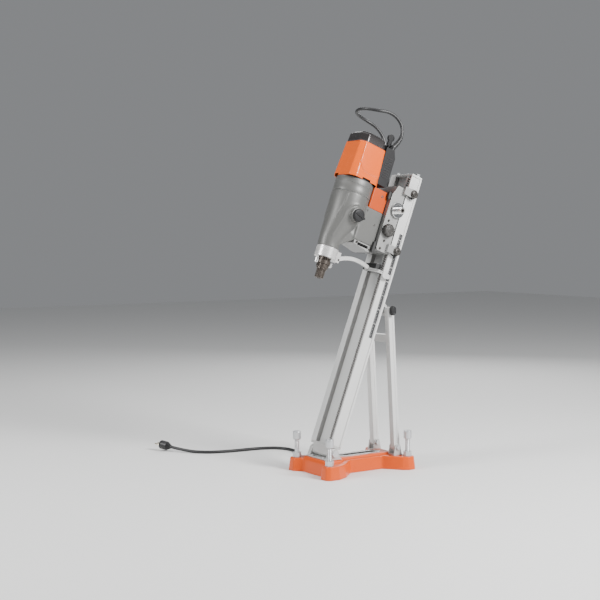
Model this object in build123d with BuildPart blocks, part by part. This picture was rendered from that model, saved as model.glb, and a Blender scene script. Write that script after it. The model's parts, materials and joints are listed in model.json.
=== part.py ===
from build123d import *
from math import acos, atan, cos, degrees, pi, radians, sin, tan
import os

# A core drill rig: an anchored base with four levelling screws, a toothed mast that leans on two
# braces, a geared carriage and a three-speed drill motor. Millimetres. +Z is up, +X is the near
# side, the rig faces -Y. The origin is on the floor under the mast's hinge, on the middle plane.
# The mast's own frame starts at the hinge: x across, y to the back, s up the mast.

# ---- driving dimensions -------------------------------------------------------------------
lean = 20.7                 # mast from vertical, degrees
hinge_height = 73
run_gap = 0.05              # radial clearance of a running fit
slide_gap = 0.3             # gap between parts that pass each other
show_gap = 0.6              # gap between covers of different bodies

base_middle = 118           # base centre behind the hinge
screw_x = 96.5              # levelling screws from the middle plane
screw_y = 161.5             # levelling screws from the base centre
lobe_top = 44
base_wall = 9
pad_rise = 8
slot_width = 22
slot_length = 150
slot_middle = 22            # slot centre behind the base centre
screw_radius = 8
screw_head_radius = 13.5
screw_head_height = 28
screw_top = 132
screw_tip = 2
bush_radius = 12.5
bush_rise = 17
bush_shank_radius = 11

mast_width = 118
mast_depth = 45
mast_start = 27
mast_length = 952
mast_wall = 4
recess_width = 62
recess_depth = 16
channel_depth = 3
channel_lip = 2
channel_rib = 8
rack_inner = 41.5
rack_width = 11
rack_slot_depth = 8.5
rack_stand = 3
gear_module = 2.5
pinion_teeth = 16
pressure_angle = 25
backlash = 0.3

foot_width = 90
foot_eye_radius = 15
foot_plate = 8
hinge_pin_radius = 8
cheek_thick = 16

clamp_back = 48.5           # brace pivot behind the mast's axis
clamp_up = 517              # brace pivot up the mast
clamp_width = 56
brace_foot_y = 256
brace_foot_z = 72
brace_x = 58
brace_wide = 22
brace_deep = 23
brace_bolt_radius = 6
brace_pin_radius = 6
eye_back = 3                # the clamp's oval hole: shift towards the mast, then its play
eye_play_back = 7
eye_play_up = 4.2

carriage_over = 1           # the carriage is this much wider than the mast, each side
carriage_low = 691
carriage_high = 924
carriage_front = -80
carriage_wall = 7
carriage_gap = 5.5          # carriage side walls stand clear of the mast's front
feed_up = 842
roller_radius = 17.2
roller_thick = 8.8
roller_low = 710
roller_high = 917
axle_radius = 6
shaft_radius = 10
stub_radius = 11
boss_radius = 24
boss_rise = 8
stub_length = 24
lock_up = 765
lock_back = -58
lock_radius = 22.5
lock_thick = 18

spindle_back = -225
motor_back = -200
spindle_end = 535
thread_radius = 15.9
thread_length = 30
collar_radius = 20.7
neck_low = 605
neck_high = 640
neck_radius = 37
neck_bore = 18
journal_radius = 15
box_seam = 836
box_top = 888
box_radius = 64.5
shell_radius = 61
shell_taper = 3.2           # degrees
cap_low = 1012
cap_high = 1050
cap_radius = 54.5
coil_radius = 49.5
shell_wall = 3.5
train_module = 1.5
lay_x = 27.27
lay_back = -212.5
mount_half = 47
mount_low = 696
mount_high = 815
mount_gap = 3.2             # the quick-release joint between motor and carriage
knob_up = 766
knob_back = -197
knob_radius = 21.5

cord_radius = 5.5
clip_x = -40.5              # the mains cord behind the mast
clip_high = 640
clip_middle = 360
clip_low = 90

# ---- derived -----------------------------------------------------------------------------
tilt = radians(lean)
up_dir = Vector(0, sin(tilt), cos(tilt))
back_dir = Vector(0, cos(tilt), -sin(tilt))
mast_frame = Plane((0, 0, hinge_height), x_dir=(1, 0, 0), z_dir=up_dir)
half_width = mast_width / 2
half_depth = mast_depth / 2
mast_end = mast_start + mast_length
mast_side = half_width - channel_depth
pad_top = lobe_top + pad_rise
pitch = pi * gear_module
pinion_pitch_radius = gear_module * pinion_teeth / 2
rack_line = -half_depth - rack_stand + 0.8 * gear_module
feed_back = rack_line - pinion_pitch_radius
channel_front = -half_depth + channel_lip
channel_rear = half_depth - channel_rib
roller_back = (channel_front + channel_rear) / 2
carriage_rear = -half_depth - carriage_gap
carriage_half = half_width + carriage_over
stub_reach = carriage_half + boss_rise + stub_length
mount_rear = carriage_front - mount_gap


def in_mast(x, y, s):
    return mast_frame.from_local_coords(Vector(x, y, s))


def up_mast(x, y, s):
    """A plane across the mast, facing up it."""
    return Plane(mast_frame.from_local_coords(Vector(x, y, s)), x_dir=(1, 0, 0), z_dir=up_dir)


def mast_side_on(x, y, s):
    """A plane facing +X whose own x runs to the mast's back and whose y runs up it."""
    return Plane(mast_frame.from_local_coords(Vector(x, y, s)), x_dir=back_dir, z_dir=(1, 0, 0))


def mast_front_on(x, y, s):
    """A plane facing the mast's front whose own x is +X and whose y runs up it."""
    return Plane(mast_frame.from_local_coords(Vector(x, y, s)), x_dir=(1, 0, 0), z_dir=-back_dir)


def side_on(x, y=0, z=0):
    """A plane facing +X whose own x is +Y and whose y is +Z."""
    return Plane((x, y, z), x_dir=(0, 1, 0), z_dir=(1, 0, 0))


def involute(angle):
    return tan(angle) - angle


def gear_points(teeth, module, first_tooth, addendum=0.8, dedendum=1.0):
    """The outline of a spur gear; first_tooth is the direction of one tooth, in radians."""
    middle = module * teeth / 2
    alpha = radians(pressure_angle)
    base = middle * cos(alpha)
    tip = middle + addendum * module
    root = middle - dedendum * module
    start = max(root, base)
    half = pi / (2 * teeth) - backlash / (2 * middle)
    flank = [start + (tip - start) * step / 2 for step in range(3)]
    points = []
    for tooth in range(teeth):
        turn = first_tooth + 2 * pi * tooth / teeth
        spread = [half + involute(alpha) - involute(acos(base / radius)) for radius in flank]
        left = [(radius, turn - wide) for radius, wide in zip(flank, spread)]
        right = [(radius, turn + wide) for radius, wide in zip(flank, spread)]
        if root < base - 0.01:
            left.insert(0, (root, turn - spread[0]))
            right.insert(0, (root, turn + spread[0]))
        points += [(radius * cos(a), radius * sin(a)) for radius, a in left + right[::-1]]
    return points


def save(name, builder):
    builder.part.label = name
    export_step(builder.part, f"parts/{name}.step")


os.makedirs("parts", exist_ok=True)

# ================================ base ====================================================
# The cast base: a waisted plate with a lobe at each corner, drafted walls, a raised middle and
# hollows underneath between the rim, the slot's wall, the screw bosses and a middle rib.
lobe_out = 26
half_outline = [
    (60, base_middle - screw_y - 1),
    (screw_x - 16, base_middle - screw_y - lobe_out),
    (screw_x + 14, base_middle - screw_y - lobe_out),
    (screw_x + lobe_out, base_middle - screw_y - 12),
    (screw_x + lobe_out, base_middle - screw_y + 24),
    (104, base_middle - screw_y + 62),
    (54, base_middle - 44),
    (54, base_middle + 86),
    (screw_x + 14, base_middle + screw_y - 30),
    (screw_x + lobe_out, base_middle + screw_y - 12),
    (screw_x + lobe_out, base_middle + screw_y + 12),
    (screw_x + 12, base_middle + screw_y + lobe_out),
    (screw_x - 16, base_middle + screw_y + lobe_out),
    (56, base_middle + screw_y + 8),
]
with BuildPart() as base_plate:
    with BuildSketch() as outline:
        with BuildLine():
            Polyline(*half_outline, *[(-x, y) for x, y in half_outline[::-1]], close=True)
        make_face()
        fillet(outline.vertices(), 11)
    extrude(amount=lobe_top, taper=7)
    with BuildSketch(Plane.XY.offset(lobe_top)):
        with Locations((0, base_middle - 6)):
            RectangleRounded(76, 300, 8)
        with Locations((0, 0)):
            RectangleRounded(136, 76, 8)
    extrude(amount=pad_rise, taper=14)
    with BuildSketch(Plane.XY.offset(pad_top)):
        with Locations((0, base_middle + slot_middle)):
            SlotOverall(slot_length, slot_width, rotation=90)
    extrude(amount=-pad_top, mode=Mode.SUBTRACT)
    with BuildSketch(Plane.XY.offset(lobe_top)):
        with Locations((0, base_middle)):
            with GridLocations(2 * screw_x, 2 * screw_y, 2, 2):
                Circle(bush_shank_radius)
    extrude(amount=-lobe_top, mode=Mode.SUBTRACT)
    with BuildSketch():
        add(outline.sketch)
        offset(amount=-base_wall)
        with Locations((0, base_middle + slot_middle)):
            SlotOverall(
                slot_length + 2 * base_wall,
                slot_width + 2 * base_wall,
                rotation=90,
                mode=Mode.SUBTRACT,
            )
        with Locations((0, base_middle)):
            with GridLocations(2 * screw_x, 2 * screw_y, 2, 2):
                Circle(bush_shank_radius + base_wall, mode=Mode.SUBTRACT)
        Rectangle(2 * base_wall, 160, mode=Mode.SUBTRACT)
    extrude(amount=lobe_top - base_wall, mode=Mode.SUBTRACT)
save("base_plate", base_plate)

with BuildPart() as levelling_bushes:
    with BuildSketch(Plane.XY.offset(screw_tip + 6)):
        with Locations((0, base_middle)):
            with GridLocations(2 * screw_x, 2 * screw_y, 2, 2):
                Circle(bush_shank_radius)
                Circle(screw_radius + run_gap, mode=Mode.SUBTRACT)
    extrude(amount=lobe_top - screw_tip - 6)
    with BuildSketch(Plane.XY.offset(lobe_top)):
        with Locations((0, base_middle)):
            with GridLocations(2 * screw_x, 2 * screw_y, 2, 2):
                RegularPolygon(bush_radius, 6, major_radius=False)
                Circle(screw_radius + run_gap, mode=Mode.SUBTRACT)
    extrude(amount=bush_rise)
save("levelling_bushes", levelling_bushes)

# Levelling screws: a plain shank for the thread, a deep round head with a hex socket.
corners = {"front_right": (1, -1), "front_left": (-1, -1), "rear_right": (1, 1), "rear_left": (-1, 1)}
for corner, (side, end) in corners.items():
    with BuildPart(Plane((side * screw_x, base_middle + end * screw_y, screw_tip))) as levelling_screw:
        Cylinder(screw_radius, screw_top - screw_tip, align=(Align.CENTER, Align.CENTER, Align.MIN))
        with BuildSketch(Plane((side * screw_x, base_middle + end * screw_y, screw_top))):
            Circle(screw_head_radius)
        extrude(amount=-screw_head_height)
        chamfer(levelling_screw.edges().sort_by(Axis.Z)[-1], 1.5)
        chamfer(levelling_screw.edges().sort_by(Axis.Z)[0], 1.5)
        with BuildSketch(Plane((side * screw_x, base_middle + end * screw_y, screw_top))):
            RegularPolygon(7, 6)
        extrude(amount=-12, mode=Mode.SUBTRACT)
    save(f"levelling_screw_{corner}", levelling_screw)

# The hinge bracket: a block bolted to the raised pad, with two rounded cheeks.
cheek_inner = foot_width / 2 + slide_gap
cheek_middle = cheek_inner + cheek_thick / 2
bracket_foot = 5
with BuildPart() as mast_bracket:
    with BuildSketch(Plane.XY.offset(pad_top)):
        Rectangle(2 * (cheek_inner + cheek_thick), 60)
    extrude(amount=bracket_foot)
    for side in (-1, 1):
        with BuildSketch(side_on(side * cheek_middle, 0, 0)):
            with BuildLine():
                Line((-28, pad_top), (28, pad_top))
                Line((28, pad_top), (18, hinge_height + 2))
                ThreePointArc((18, hinge_height + 2), (0, hinge_height + 18), (-18, hinge_height + 2))
                Line((-18, hinge_height + 2), (-28, pad_top))
            make_face()
            with Locations((0, hinge_height)):
                Circle(hinge_pin_radius, mode=Mode.SUBTRACT)
        extrude(amount=cheek_thick / 2, both=True)
save("mast_bracket", mast_bracket)

with BuildPart() as bracket_bolts:
    with BuildSketch(Plane.XY.offset(pad_top + bracket_foot)):
        with GridLocations(64, 46, 2, 2):
            RegularPolygon(5.5, 6)
    extrude(amount=4)
save("bracket_bolts", bracket_bolts)

with BuildPart(side_on(0, 0, hinge_height)) as hinge_pin:
    Cylinder(hinge_pin_radius, 2 * (cheek_inner + cheek_thick))
    for side in (-1, 1):
        with BuildSketch(side_on(side * (cheek_inner + cheek_thick), 0, hinge_height)):
            RegularPolygon(11, 6)
        extrude(amount=side * 7)
save("hinge_pin", hinge_pin)

# Two forked brackets at the back take the feet of the braces.
fork_wall = 5
fork_half = brace_wide / 2 + slide_gap
with BuildPart() as brace_brackets:
    for side in (-1, 1):
        with BuildSketch(Plane.XY.offset(lobe_top)):
            with Locations((side * brace_x, brace_foot_y)):
                Rectangle(2 * (fork_half + fork_wall), 34)
        extrude(amount=6)
        for wall in (-1, 1):
            middle = side * brace_x + wall * (fork_half + fork_wall / 2)
            with BuildSketch(side_on(middle)):
                with BuildLine():
                    Line((brace_foot_y - 17, lobe_top), (brace_foot_y + 17, lobe_top))
                    Line((brace_foot_y + 17, lobe_top), (brace_foot_y + 12, brace_foot_z))
                    ThreePointArc(
                        (brace_foot_y + 12, brace_foot_z),
                        (brace_foot_y, brace_foot_z + 12),
                        (brace_foot_y - 12, brace_foot_z),
                    )
                    Line((brace_foot_y - 12, brace_foot_z), (brace_foot_y - 17, lobe_top))
                make_face()
                with Locations((brace_foot_y, brace_foot_z)):
                    Circle(brace_pin_radius, mode=Mode.SUBTRACT)
            extrude(amount=fork_wall / 2, both=True)
save("brace_brackets", brace_brackets)

with BuildPart() as brace_pins:
    for side in (-1, 1):
        with BuildSketch(side_on(side * brace_x, brace_foot_y, brace_foot_z)):
            Circle(brace_pin_radius)
        extrude(amount=fork_half + fork_wall, both=True)
        for wall in (-1, 1):
            face = side * brace_x + wall * (fork_half + fork_wall)
            with BuildSketch(side_on(face, brace_foot_y, brace_foot_z)):
                RegularPolygon(8.5, 6)
            extrude(amount=wall * 6)
save("brace_pins", brace_pins)

# ================================ mast ====================================================
# The extruded mast: two front lands beside a deep recess, a slot for the rack, a channel on
# each side for the rollers, and a hollow core.
recess_half = recess_width / 2
half_profile = [
    (0, recess_depth - half_depth),
    (recess_half, recess_depth - half_depth),
    (recess_half, -half_depth),
    (half_width, -half_depth),
    (half_width, channel_front),
    (mast_side, channel_front + 0.5),
    (mast_side, channel_rear),
    (half_width, channel_rear + 0.5),
    (half_width, half_depth),
    (0, half_depth),
]
core_front = recess_depth - half_depth + mast_wall
core_rear = half_depth - mast_wall
with BuildPart() as mast_extrusion:
    with BuildSketch(up_mast(0, 0, mast_start)):
        with BuildLine():
            Polyline(*half_profile, *[(-x, y) for x, y in half_profile[-2:0:-1]], close=True)
        make_face()
        with Locations((0, (core_front + core_rear) / 2)):
            Rectangle(2 * (mast_side - mast_wall), core_rear - core_front, mode=Mode.SUBTRACT)
        with Locations((-(recess_half + mast_side) / 2, (core_front - half_depth + mast_wall) / 2)):
            Rectangle(
                mast_side - recess_half - 2 * mast_wall,
                core_front + half_depth - mast_wall,
                mode=Mode.SUBTRACT,
            )
        with Locations((rack_inner + rack_width / 2, -half_depth + rack_slot_depth / 2)):
            Rectangle(rack_width, rack_slot_depth, mode=Mode.SUBTRACT)
    extrude(amount=mast_length)
save("mast_extrusion", mast_extrusion)

# The rack: one tooth stands opposite the pinion's axis.
rack_back = -half_depth + rack_slot_depth
rack_first = -int((feed_up - mast_start - 8) / pitch)
rack_last = int((mast_end - 8 - feed_up) / pitch)
tooth_half = pitch / 4 - backlash / 2
slope = tan(radians(pressure_angle))
tip_y = rack_line - 0.8 * gear_module
root_y = rack_line + 1.0 * gear_module
tip_half = tooth_half - 0.8 * gear_module * slope
root_half = tooth_half + 1.0 * gear_module * slope
rack_points = [(rack_back, rack_first * pitch - pitch / 2), (root_y, rack_first * pitch - pitch / 2)]
for tooth in range(rack_first, rack_last + 1):
    rack_points += [
        (root_y, tooth * pitch - root_half),
        (tip_y, tooth * pitch - tip_half),
        (tip_y, tooth * pitch + tip_half),
        (root_y, tooth * pitch + root_half),
    ]
rack_points += [(root_y, rack_last * pitch + pitch / 2), (rack_back, rack_last * pitch + pitch / 2)]
with BuildPart() as gear_rack:
    with BuildSketch(mast_side_on(rack_inner, 0, feed_up)):
        with BuildLine():
            Polyline(*rack_points, close=True)
        make_face()
    extrude(amount=rack_width)
save("gear_rack", gear_rack)

# The mast's foot: a plate across the extrusion's end and an eye on the hinge pin.
with BuildPart() as mast_foot:
    with BuildSketch(up_mast(0, 0, mast_start)):
        Rectangle(mast_width - 4, mast_depth - 2)
    extrude(amount=-foot_plate)
    with BuildSketch(mast_side_on(0, 0, 0)):
        with BuildLine():
            Line((-19, mast_start - foot_plate), (19, mast_start - foot_plate))
            Line((19, mast_start - foot_plate), (foot_eye_radius, 0))
            ThreePointArc((foot_eye_radius, 0), (0, -foot_eye_radius), (-foot_eye_radius, 0))
            Line((-foot_eye_radius, 0), (-19, mast_start - foot_plate))
        make_face()
        Circle(hinge_pin_radius + run_gap, mode=Mode.SUBTRACT)
    extrude(amount=foot_width / 2, both=True)
save("mast_foot", mast_foot)

cap_plate = 7
with BuildPart() as mast_cap:
    with BuildSketch(up_mast(0, 0, mast_end)):
        RectangleRounded(mast_width, mast_depth, 3)
    extrude(amount=cap_plate)
save("mast_cap", mast_cap)

with BuildPart() as cap_bolts:
    with BuildSketch(up_mast(0, 0, mast_end + cap_plate)):
        with Locations((-42, -8), (0, 2), (46, 10)):
            Circle(9)
    extrude(amount=2)
    with BuildSketch(up_mast(0, 0, mast_end + cap_plate + 2)):
        with Locations((-42, -8), (0, 2), (46, 10)):
            RegularPolygon(7.5, 6)
    extrude(amount=8)
save("cap_bolts", cap_bolts)

strip_low = 405
strip_high = 775
with BuildPart(mast_side_on(mast_side, 6.5, (strip_low + strip_high) / 2)) as scale_strip:
    Box(13, strip_high - strip_low, 0.5, align=(Align.CENTER, Align.CENTER, Align.MIN))
save("scale_strip", scale_strip)

# ================================ brace ===================================================
# The clamp block on the mast's back. Its oval hole lets the brace bolt find its own place.
clamp_front = half_depth + slide_gap
with BuildPart() as brace_clamp:
    with BuildSketch(mast_side_on(0, 0, clamp_up)):
        with BuildLine():
            Line((clamp_front, -24), (clamp_front, 30))
            Line((clamp_front, 30), (clamp_back + 8, 18))
            Line((clamp_back + 8, 18), (clamp_back + 17, 4))
            Line((clamp_back + 17, 4), (clamp_back + 14, -16))
            Line((clamp_back + 14, -16), (clamp_front, -24))
        make_face()
        with Locations((clamp_back - eye_back, 0)):
            SlotOverall(
                2 * (brace_bolt_radius + eye_play_back),
                2 * (brace_bolt_radius + eye_play_up),
                mode=Mode.SUBTRACT,
            )
    extrude(amount=clamp_width / 2, both=True)
save("brace_clamp", brace_clamp)

clamp_point = mast_frame.from_local_coords(Vector(0, clamp_back, clamp_up))
brace_vector = Vector(0, clamp_point.Y - brace_foot_y, clamp_point.Z - brace_foot_z)
brace_length = brace_vector.length
brace_up = brace_vector.normalized()


def along_brace(x, along):
    """A plane across a brace, facing up it, at a distance from its foot pivot."""
    foot = Vector(x, brace_foot_y, brace_foot_z) + brace_up * along
    return Plane(foot, x_dir=(1, 0, 0), z_dir=brace_up)


def brace_side_on(x, along):
    """A plane facing +X whose own y runs up the brace."""
    foot = Vector(x, brace_foot_y, brace_foot_z) + brace_up * along
    return Plane(foot, x_dir=brace_up.cross(Vector(1, 0, 0)), z_dir=(1, 0, 0))


# Each brace is a grooved rectangular tube with a rounded end eye at both ends, and a cross bar
# stands between them.
crossbar_along = 372
with BuildPart() as brace_frame:
    for side in (-1, 1):
        with BuildSketch(along_brace(side * brace_x, 14)):
            Rectangle(brace_wide, brace_deep)
            Rectangle(brace_wide - 6, brace_deep - 6, mode=Mode.SUBTRACT)
            for face in (-1, 1):
                with Locations((face * brace_wide / 2, 0)):
                    Rectangle(2.4, 7, mode=Mode.SUBTRACT)
        extrude(amount=brace_length - 28)
        for along, bore in ((0, brace_pin_radius + run_gap), (brace_length, brace_bolt_radius)):
            toward = 1 if along == 0 else -1
            with BuildSketch(brace_side_on(side * brace_x, along)):
                Circle(brace_deep / 2)
                with Locations((0, toward * 10)):
                    Rectangle(brace_deep, 20)
                Circle(bore, mode=Mode.SUBTRACT)
            extrude(amount=brace_wide / 2, both=True)
    with BuildSketch(along_brace(0, crossbar_along)):
        Rectangle(2 * brace_x - brace_wide, 18)
    extrude(amount=13, both=True)
save("brace_frame", brace_frame)

bolt_reach = brace_x + brace_wide / 2 + 3
with BuildPart(side_on(0, clamp_point.Y, clamp_point.Z)) as brace_bolt:
    Cylinder(brace_bolt_radius, 2 * bolt_reach)
    with BuildSketch(side_on(-bolt_reach, clamp_point.Y, clamp_point.Z)):
        RegularPolygon(10, 6)
    extrude(amount=-8)
save("brace_bolt", brace_bolt)

knob_inner = bolt_reach + slide_gap
with BuildPart() as brace_knob:
    with BuildSketch(side_on(knob_inner, clamp_point.Y, clamp_point.Z)):
        SlotOverall(32, 19, rotation=90)
    extrude(amount=14)
    fillet(brace_knob.faces().sort_by(Axis.X)[-1].edges(), 4)
save("brace_knob", brace_knob)

# ================================ carriage ================================================
# The carriage casting: a hollow block, open to the mast, with an ear for each roller.
front_slope = 16
with BuildPart() as carriage_body:
    with BuildSketch(mast_side_on(0, 0, 0)):
        with BuildLine():
            Polyline(
                (carriage_rear, carriage_low),
                (carriage_front + 4, carriage_low),
                (carriage_front, carriage_low + 8),
                (carriage_front, carriage_high - 38),
                (carriage_front + front_slope, carriage_high),
                (carriage_rear, carriage_high),
                close=True,
            )
        make_face()
    extrude(amount=carriage_half, both=True)
    with BuildSketch(mast_side_on(0, 0, 0)):
        with BuildLine():
            Polyline(
                (carriage_rear, carriage_low + 10),
                (carriage_front + carriage_wall + 2, carriage_low + 10),
                (carriage_front + carriage_wall + 2, carriage_high - 44),
                (carriage_front + front_slope + carriage_wall, carriage_high - 10),
                (carriage_rear, carriage_high - 10),
                close=True,
            )
        make_face()
    extrude(amount=carriage_half - carriage_wall, both=True, mode=Mode.SUBTRACT)
    ear_inner = mast_side + 1.2 + roller_thick + 0.8
    ear_thick = 6
    for side in (-1, 1):
        for up in (roller_low, roller_high):
            with BuildSketch(mast_side_on(side * (ear_inner + ear_thick / 2), 0, up)):
                with Locations(((roller_back - 4 + carriage_rear - 14) / 2, 0)):
                    Rectangle(roller_back - 4 - carriage_rear + 14, 26)
            extrude(amount=ear_thick / 2, both=True)
            with BuildSketch(mast_side_on(side * carriage_half, 0, up)):
                with Locations((carriage_rear - 7, 0)):
                    Rectangle(14, 26)
            extrude(amount=side * (ear_inner + ear_thick - carriage_half))
            with BuildSketch(mast_side_on(side * (ear_inner + ear_thick / 2), roller_back, up)):
                Circle(11)
            extrude(amount=ear_thick / 2, both=True)
            with BuildSketch(mast_side_on(side * (ear_inner + ear_thick / 2), roller_back, up)):
                Circle(axle_radius)
            extrude(amount=ear_thick, both=True, mode=Mode.SUBTRACT)
    with BuildSketch(mast_side_on(carriage_half, feed_back, feed_up)):
        Circle(boss_radius)
    extrude(amount=boss_rise)
    bush_hole = shaft_radius + 4
    with BuildSketch(mast_side_on(0, feed_back, feed_up)):
        Circle(bush_hole)
    extrude(amount=2 * carriage_half, both=True, mode=Mode.SUBTRACT)
    with BuildSketch(mast_side_on(carriage_half, lock_back, lock_up)):
        Circle(7)
    extrude(amount=carriage_wall, both=True, mode=Mode.SUBTRACT)
save("carriage_body", carriage_body)

with BuildPart() as roller_axles:
    for side in (-1, 1):
        for up in (roller_low, roller_high):
            with BuildSketch(mast_side_on(side * (mast_side + 1), roller_back, up)):
                Circle(axle_radius)
            extrude(amount=side * (ear_inner + ear_thick - mast_side - 1))
            with BuildSketch(mast_side_on(side * (ear_inner + ear_thick), roller_back, up)):
                Circle(14.5)
            extrude(amount=side * 4.5)
save("roller_axles", roller_axles)

roller_places = {
    "upper_right": (1, roller_high),
    "upper_left": (-1, roller_high),
    "lower_right": (1, roller_low),
    "lower_left": (-1, roller_low),
}
for place, (side, up) in roller_places.items():
    with BuildPart() as guide_roller:
        with BuildSketch(mast_side_on(side * (mast_side + 1.2), roller_back, up)):
            Circle(roller_radius)
            Circle(axle_radius + run_gap, mode=Mode.SUBTRACT)
        extrude(amount=side * roller_thick)
        chamfer(guide_roller.edges().filter_by(GeomType.CIRCLE).group_by(SortBy.RADIUS)[-1], 1)
    save(f"guide_roller_{place}", guide_roller)

# Bronze bushes in the side walls carry the feed shaft.
with BuildPart() as shaft_bushes:
    with BuildSketch(mast_side_on(carriage_half - carriage_wall, feed_back, feed_up)):
        Circle(bush_hole)
        Circle(shaft_radius + run_gap, mode=Mode.SUBTRACT)
    extrude(amount=carriage_wall + boss_rise)
    with BuildSketch(mast_side_on(-carriage_half, feed_back, feed_up)):
        Circle(bush_hole)
        Circle(shaft_radius + run_gap, mode=Mode.SUBTRACT)
    extrude(amount=carriage_wall)
save("shaft_bushes", shaft_bushes)

pinion_inner = rack_inner + 0.5
pinion_wide = rack_width - 1
with BuildPart() as feed_shaft:
    with BuildSketch(mast_side_on(-carriage_half - 4, feed_back, feed_up)):
        Circle(shaft_radius)
    extrude(amount=2 * carriage_half + 4 + boss_rise + slide_gap)
    with BuildSketch(mast_side_on(carriage_half + boss_rise + slide_gap, feed_back, feed_up)):
        Circle(stub_radius)
    extrude(amount=stub_reach - carriage_half - boss_rise - slide_gap)
    chamfer(feed_shaft.edges().sort_by(Axis.X)[-1], 1.5)
    with BuildSketch(mast_side_on(stub_reach, feed_back, feed_up)):
        RegularPolygon(6.5, 6)
    extrude(amount=-18, mode=Mode.SUBTRACT)
save("feed_shaft", feed_shaft)

with BuildPart() as feed_pinion:
    with BuildSketch(mast_side_on(pinion_inner, feed_back, feed_up)):
        with BuildLine():
            Polyline(*gear_points(pinion_teeth, gear_module, pi / pinion_teeth), close=True)
        make_face()
        Circle(shaft_radius, mode=Mode.SUBTRACT)
    extrude(amount=pinion_wide)
save("feed_pinion", feed_pinion)

# The carriage lock: a ribbed hand knob on a short screw.
with BuildPart() as lock_knob:
    with BuildSketch(mast_side_on(carriage_half + slide_gap, lock_back, lock_up)):
        Circle(lock_radius)
        with PolarLocations(lock_radius + 1.2, 12):
            Circle(2.6, mode=Mode.SUBTRACT)
    extrude(amount=lock_thick)
    with BuildSketch(mast_side_on(carriage_half + slide_gap, lock_back, lock_up)):
        Circle(7 - run_gap)
    extrude(amount=-(carriage_wall + slide_gap + 4))
save("lock_knob", lock_knob)

# ================================ drill motor =============================================
# The gearbox casting narrows from the motor's round flange to the neck, and a flat block at
# its back bolts to the adapter plate.
gear_floor = 742
web_back = -164
web_half = 30
with BuildPart() as gearbox_housing:
    with BuildSketch(up_mast(0, spindle_back, neck_high)):
        Circle(neck_radius)
    with BuildSketch(up_mast(0, spindle_back + 1, neck_high + 45)):
        Circle(neck_radius + 4)
    with BuildSketch(up_mast(0, motor_back - 6, neck_high + 105)):
        Circle(box_radius - 7)
    with BuildSketch(up_mast(0, motor_back - 1, neck_high + 150)):
        Circle(box_radius - 0.8)
    with BuildSketch(up_mast(0, motor_back, box_seam)):
        Circle(box_radius)
    loft()
    with BuildSketch(up_mast(0, (motor_back + 30 + mount_rear) / 2, mount_low)):
        RectangleRounded(2 * mount_half, mount_rear - motor_back - 30, 6)
    extrude(amount=mount_high - mount_low)
    with BuildSketch(mast_side_on(0, 0, 0)):
        with BuildLine():
            Polyline(
                (spindle_back, neck_high + 3),
                (web_back, mount_low + 0.5),
                (mount_rear - 40, mount_low + 0.5),
                (mount_rear - 40, mount_high - 15),
                (spindle_back, mount_high - 15),
                close=True,
            )
        make_face()
    extrude(amount=web_half, both=True)
    with BuildSketch(up_mast(0, 0, box_seam)):
        with Locations((0, spindle_back)):
            Circle(24)
        with Locations((lay_x, lay_back)):
            Circle(26)
        with Locations((0, motor_back)):
            Circle(16)
    extrude(amount=gear_floor - box_seam, mode=Mode.SUBTRACT)
    with BuildSketch(up_mast(0, spindle_back, neck_high)):
        Circle(journal_radius + 2)
    extrude(amount=gear_floor - neck_high, mode=Mode.SUBTRACT)
    for low in (neck_high + 6, gear_floor - 14):
        with BuildSketch(up_mast(0, spindle_back, low)):
            Circle(24)
        extrude(amount=14, mode=Mode.SUBTRACT)
    with BuildSketch(mast_side_on(box_radius + 8, knob_back, knob_up)):
        Circle(knob_radius + 3)
    extrude(amount=-26)
    with BuildSketch(mast_side_on(box_radius + 8, knob_back, knob_up)):
        Circle(5 + run_gap)
    extrude(amount=-18, mode=Mode.SUBTRACT)
save("gearbox_housing", gearbox_housing)

with BuildPart() as gearbox_cover:
    with BuildSketch(up_mast(0, motor_back, box_seam)):
        Circle(box_radius)
        Circle(box_radius - 5, mode=Mode.SUBTRACT)
    extrude(amount=box_top - box_seam)
    with BuildSketch(up_mast(0, motor_back, box_seam + 12)):
        Circle(box_radius - 5)
        Circle(14, mode=Mode.SUBTRACT)
    extrude(amount=14)
    fillet(gearbox_cover.faces().sort_by(Axis.Z)[-1].edges().sort_by(SortBy.LENGTH)[-1], 3)
save("gearbox_cover", gearbox_cover)

# The motor's shell: a faceted tube, closed by a metal cap.
facet = 18
with BuildPart() as motor_shell:
    with BuildSketch(up_mast(0, motor_back, box_top)) as shell_outline:
        Rectangle(2 * shell_radius, 2 * shell_radius)
        chamfer(shell_outline.vertices(), facet)
        fillet(shell_outline.vertices(), 9)
    extrude(amount=cap_low - box_top, taper=shell_taper)
    with BuildSketch(up_mast(0, motor_back, box_top)) as shell_inside:
        add(shell_outline.sketch_local)
        offset(amount=-shell_wall)
    extrude(amount=cap_low - box_top, taper=shell_taper, mode=Mode.SUBTRACT)
save("motor_shell", motor_shell)

with BuildPart() as motor_cap:
    with BuildSketch(up_mast(0, motor_back, cap_low)) as cap_outline:
        Rectangle(2 * cap_radius, 2 * cap_radius)
        chamfer(cap_outline.vertices(), 30)
        fillet(cap_outline.vertices(), 6)
    extrude(amount=cap_high - cap_low, taper=4)
    fillet(motor_cap.faces().sort_by(Axis.Z)[-1].edges(), 6)
    with BuildSketch(up_mast(0, motor_back, cap_low)):
        Circle(46)
    extrude(amount=cap_high - cap_low - 8, mode=Mode.SUBTRACT)
save("motor_cap", motor_cap)

with BuildPart() as rear_cover:
    with BuildSketch(up_mast(0, (motor_back + box_radius + mount_rear) / 2 - 6, mount_high)):
        RectangleRounded(2 * mount_half - 4, mount_rear - motor_back - box_radius + 12, 5)
    extrude(amount=box_top - mount_high)
    with BuildSketch(up_mast(0, motor_back, mount_high - 1)):
        Circle(box_radius + show_gap)
    extrude(amount=box_top - mount_high + 12, mode=Mode.SUBTRACT)
save("rear_cover", rear_cover)

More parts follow.
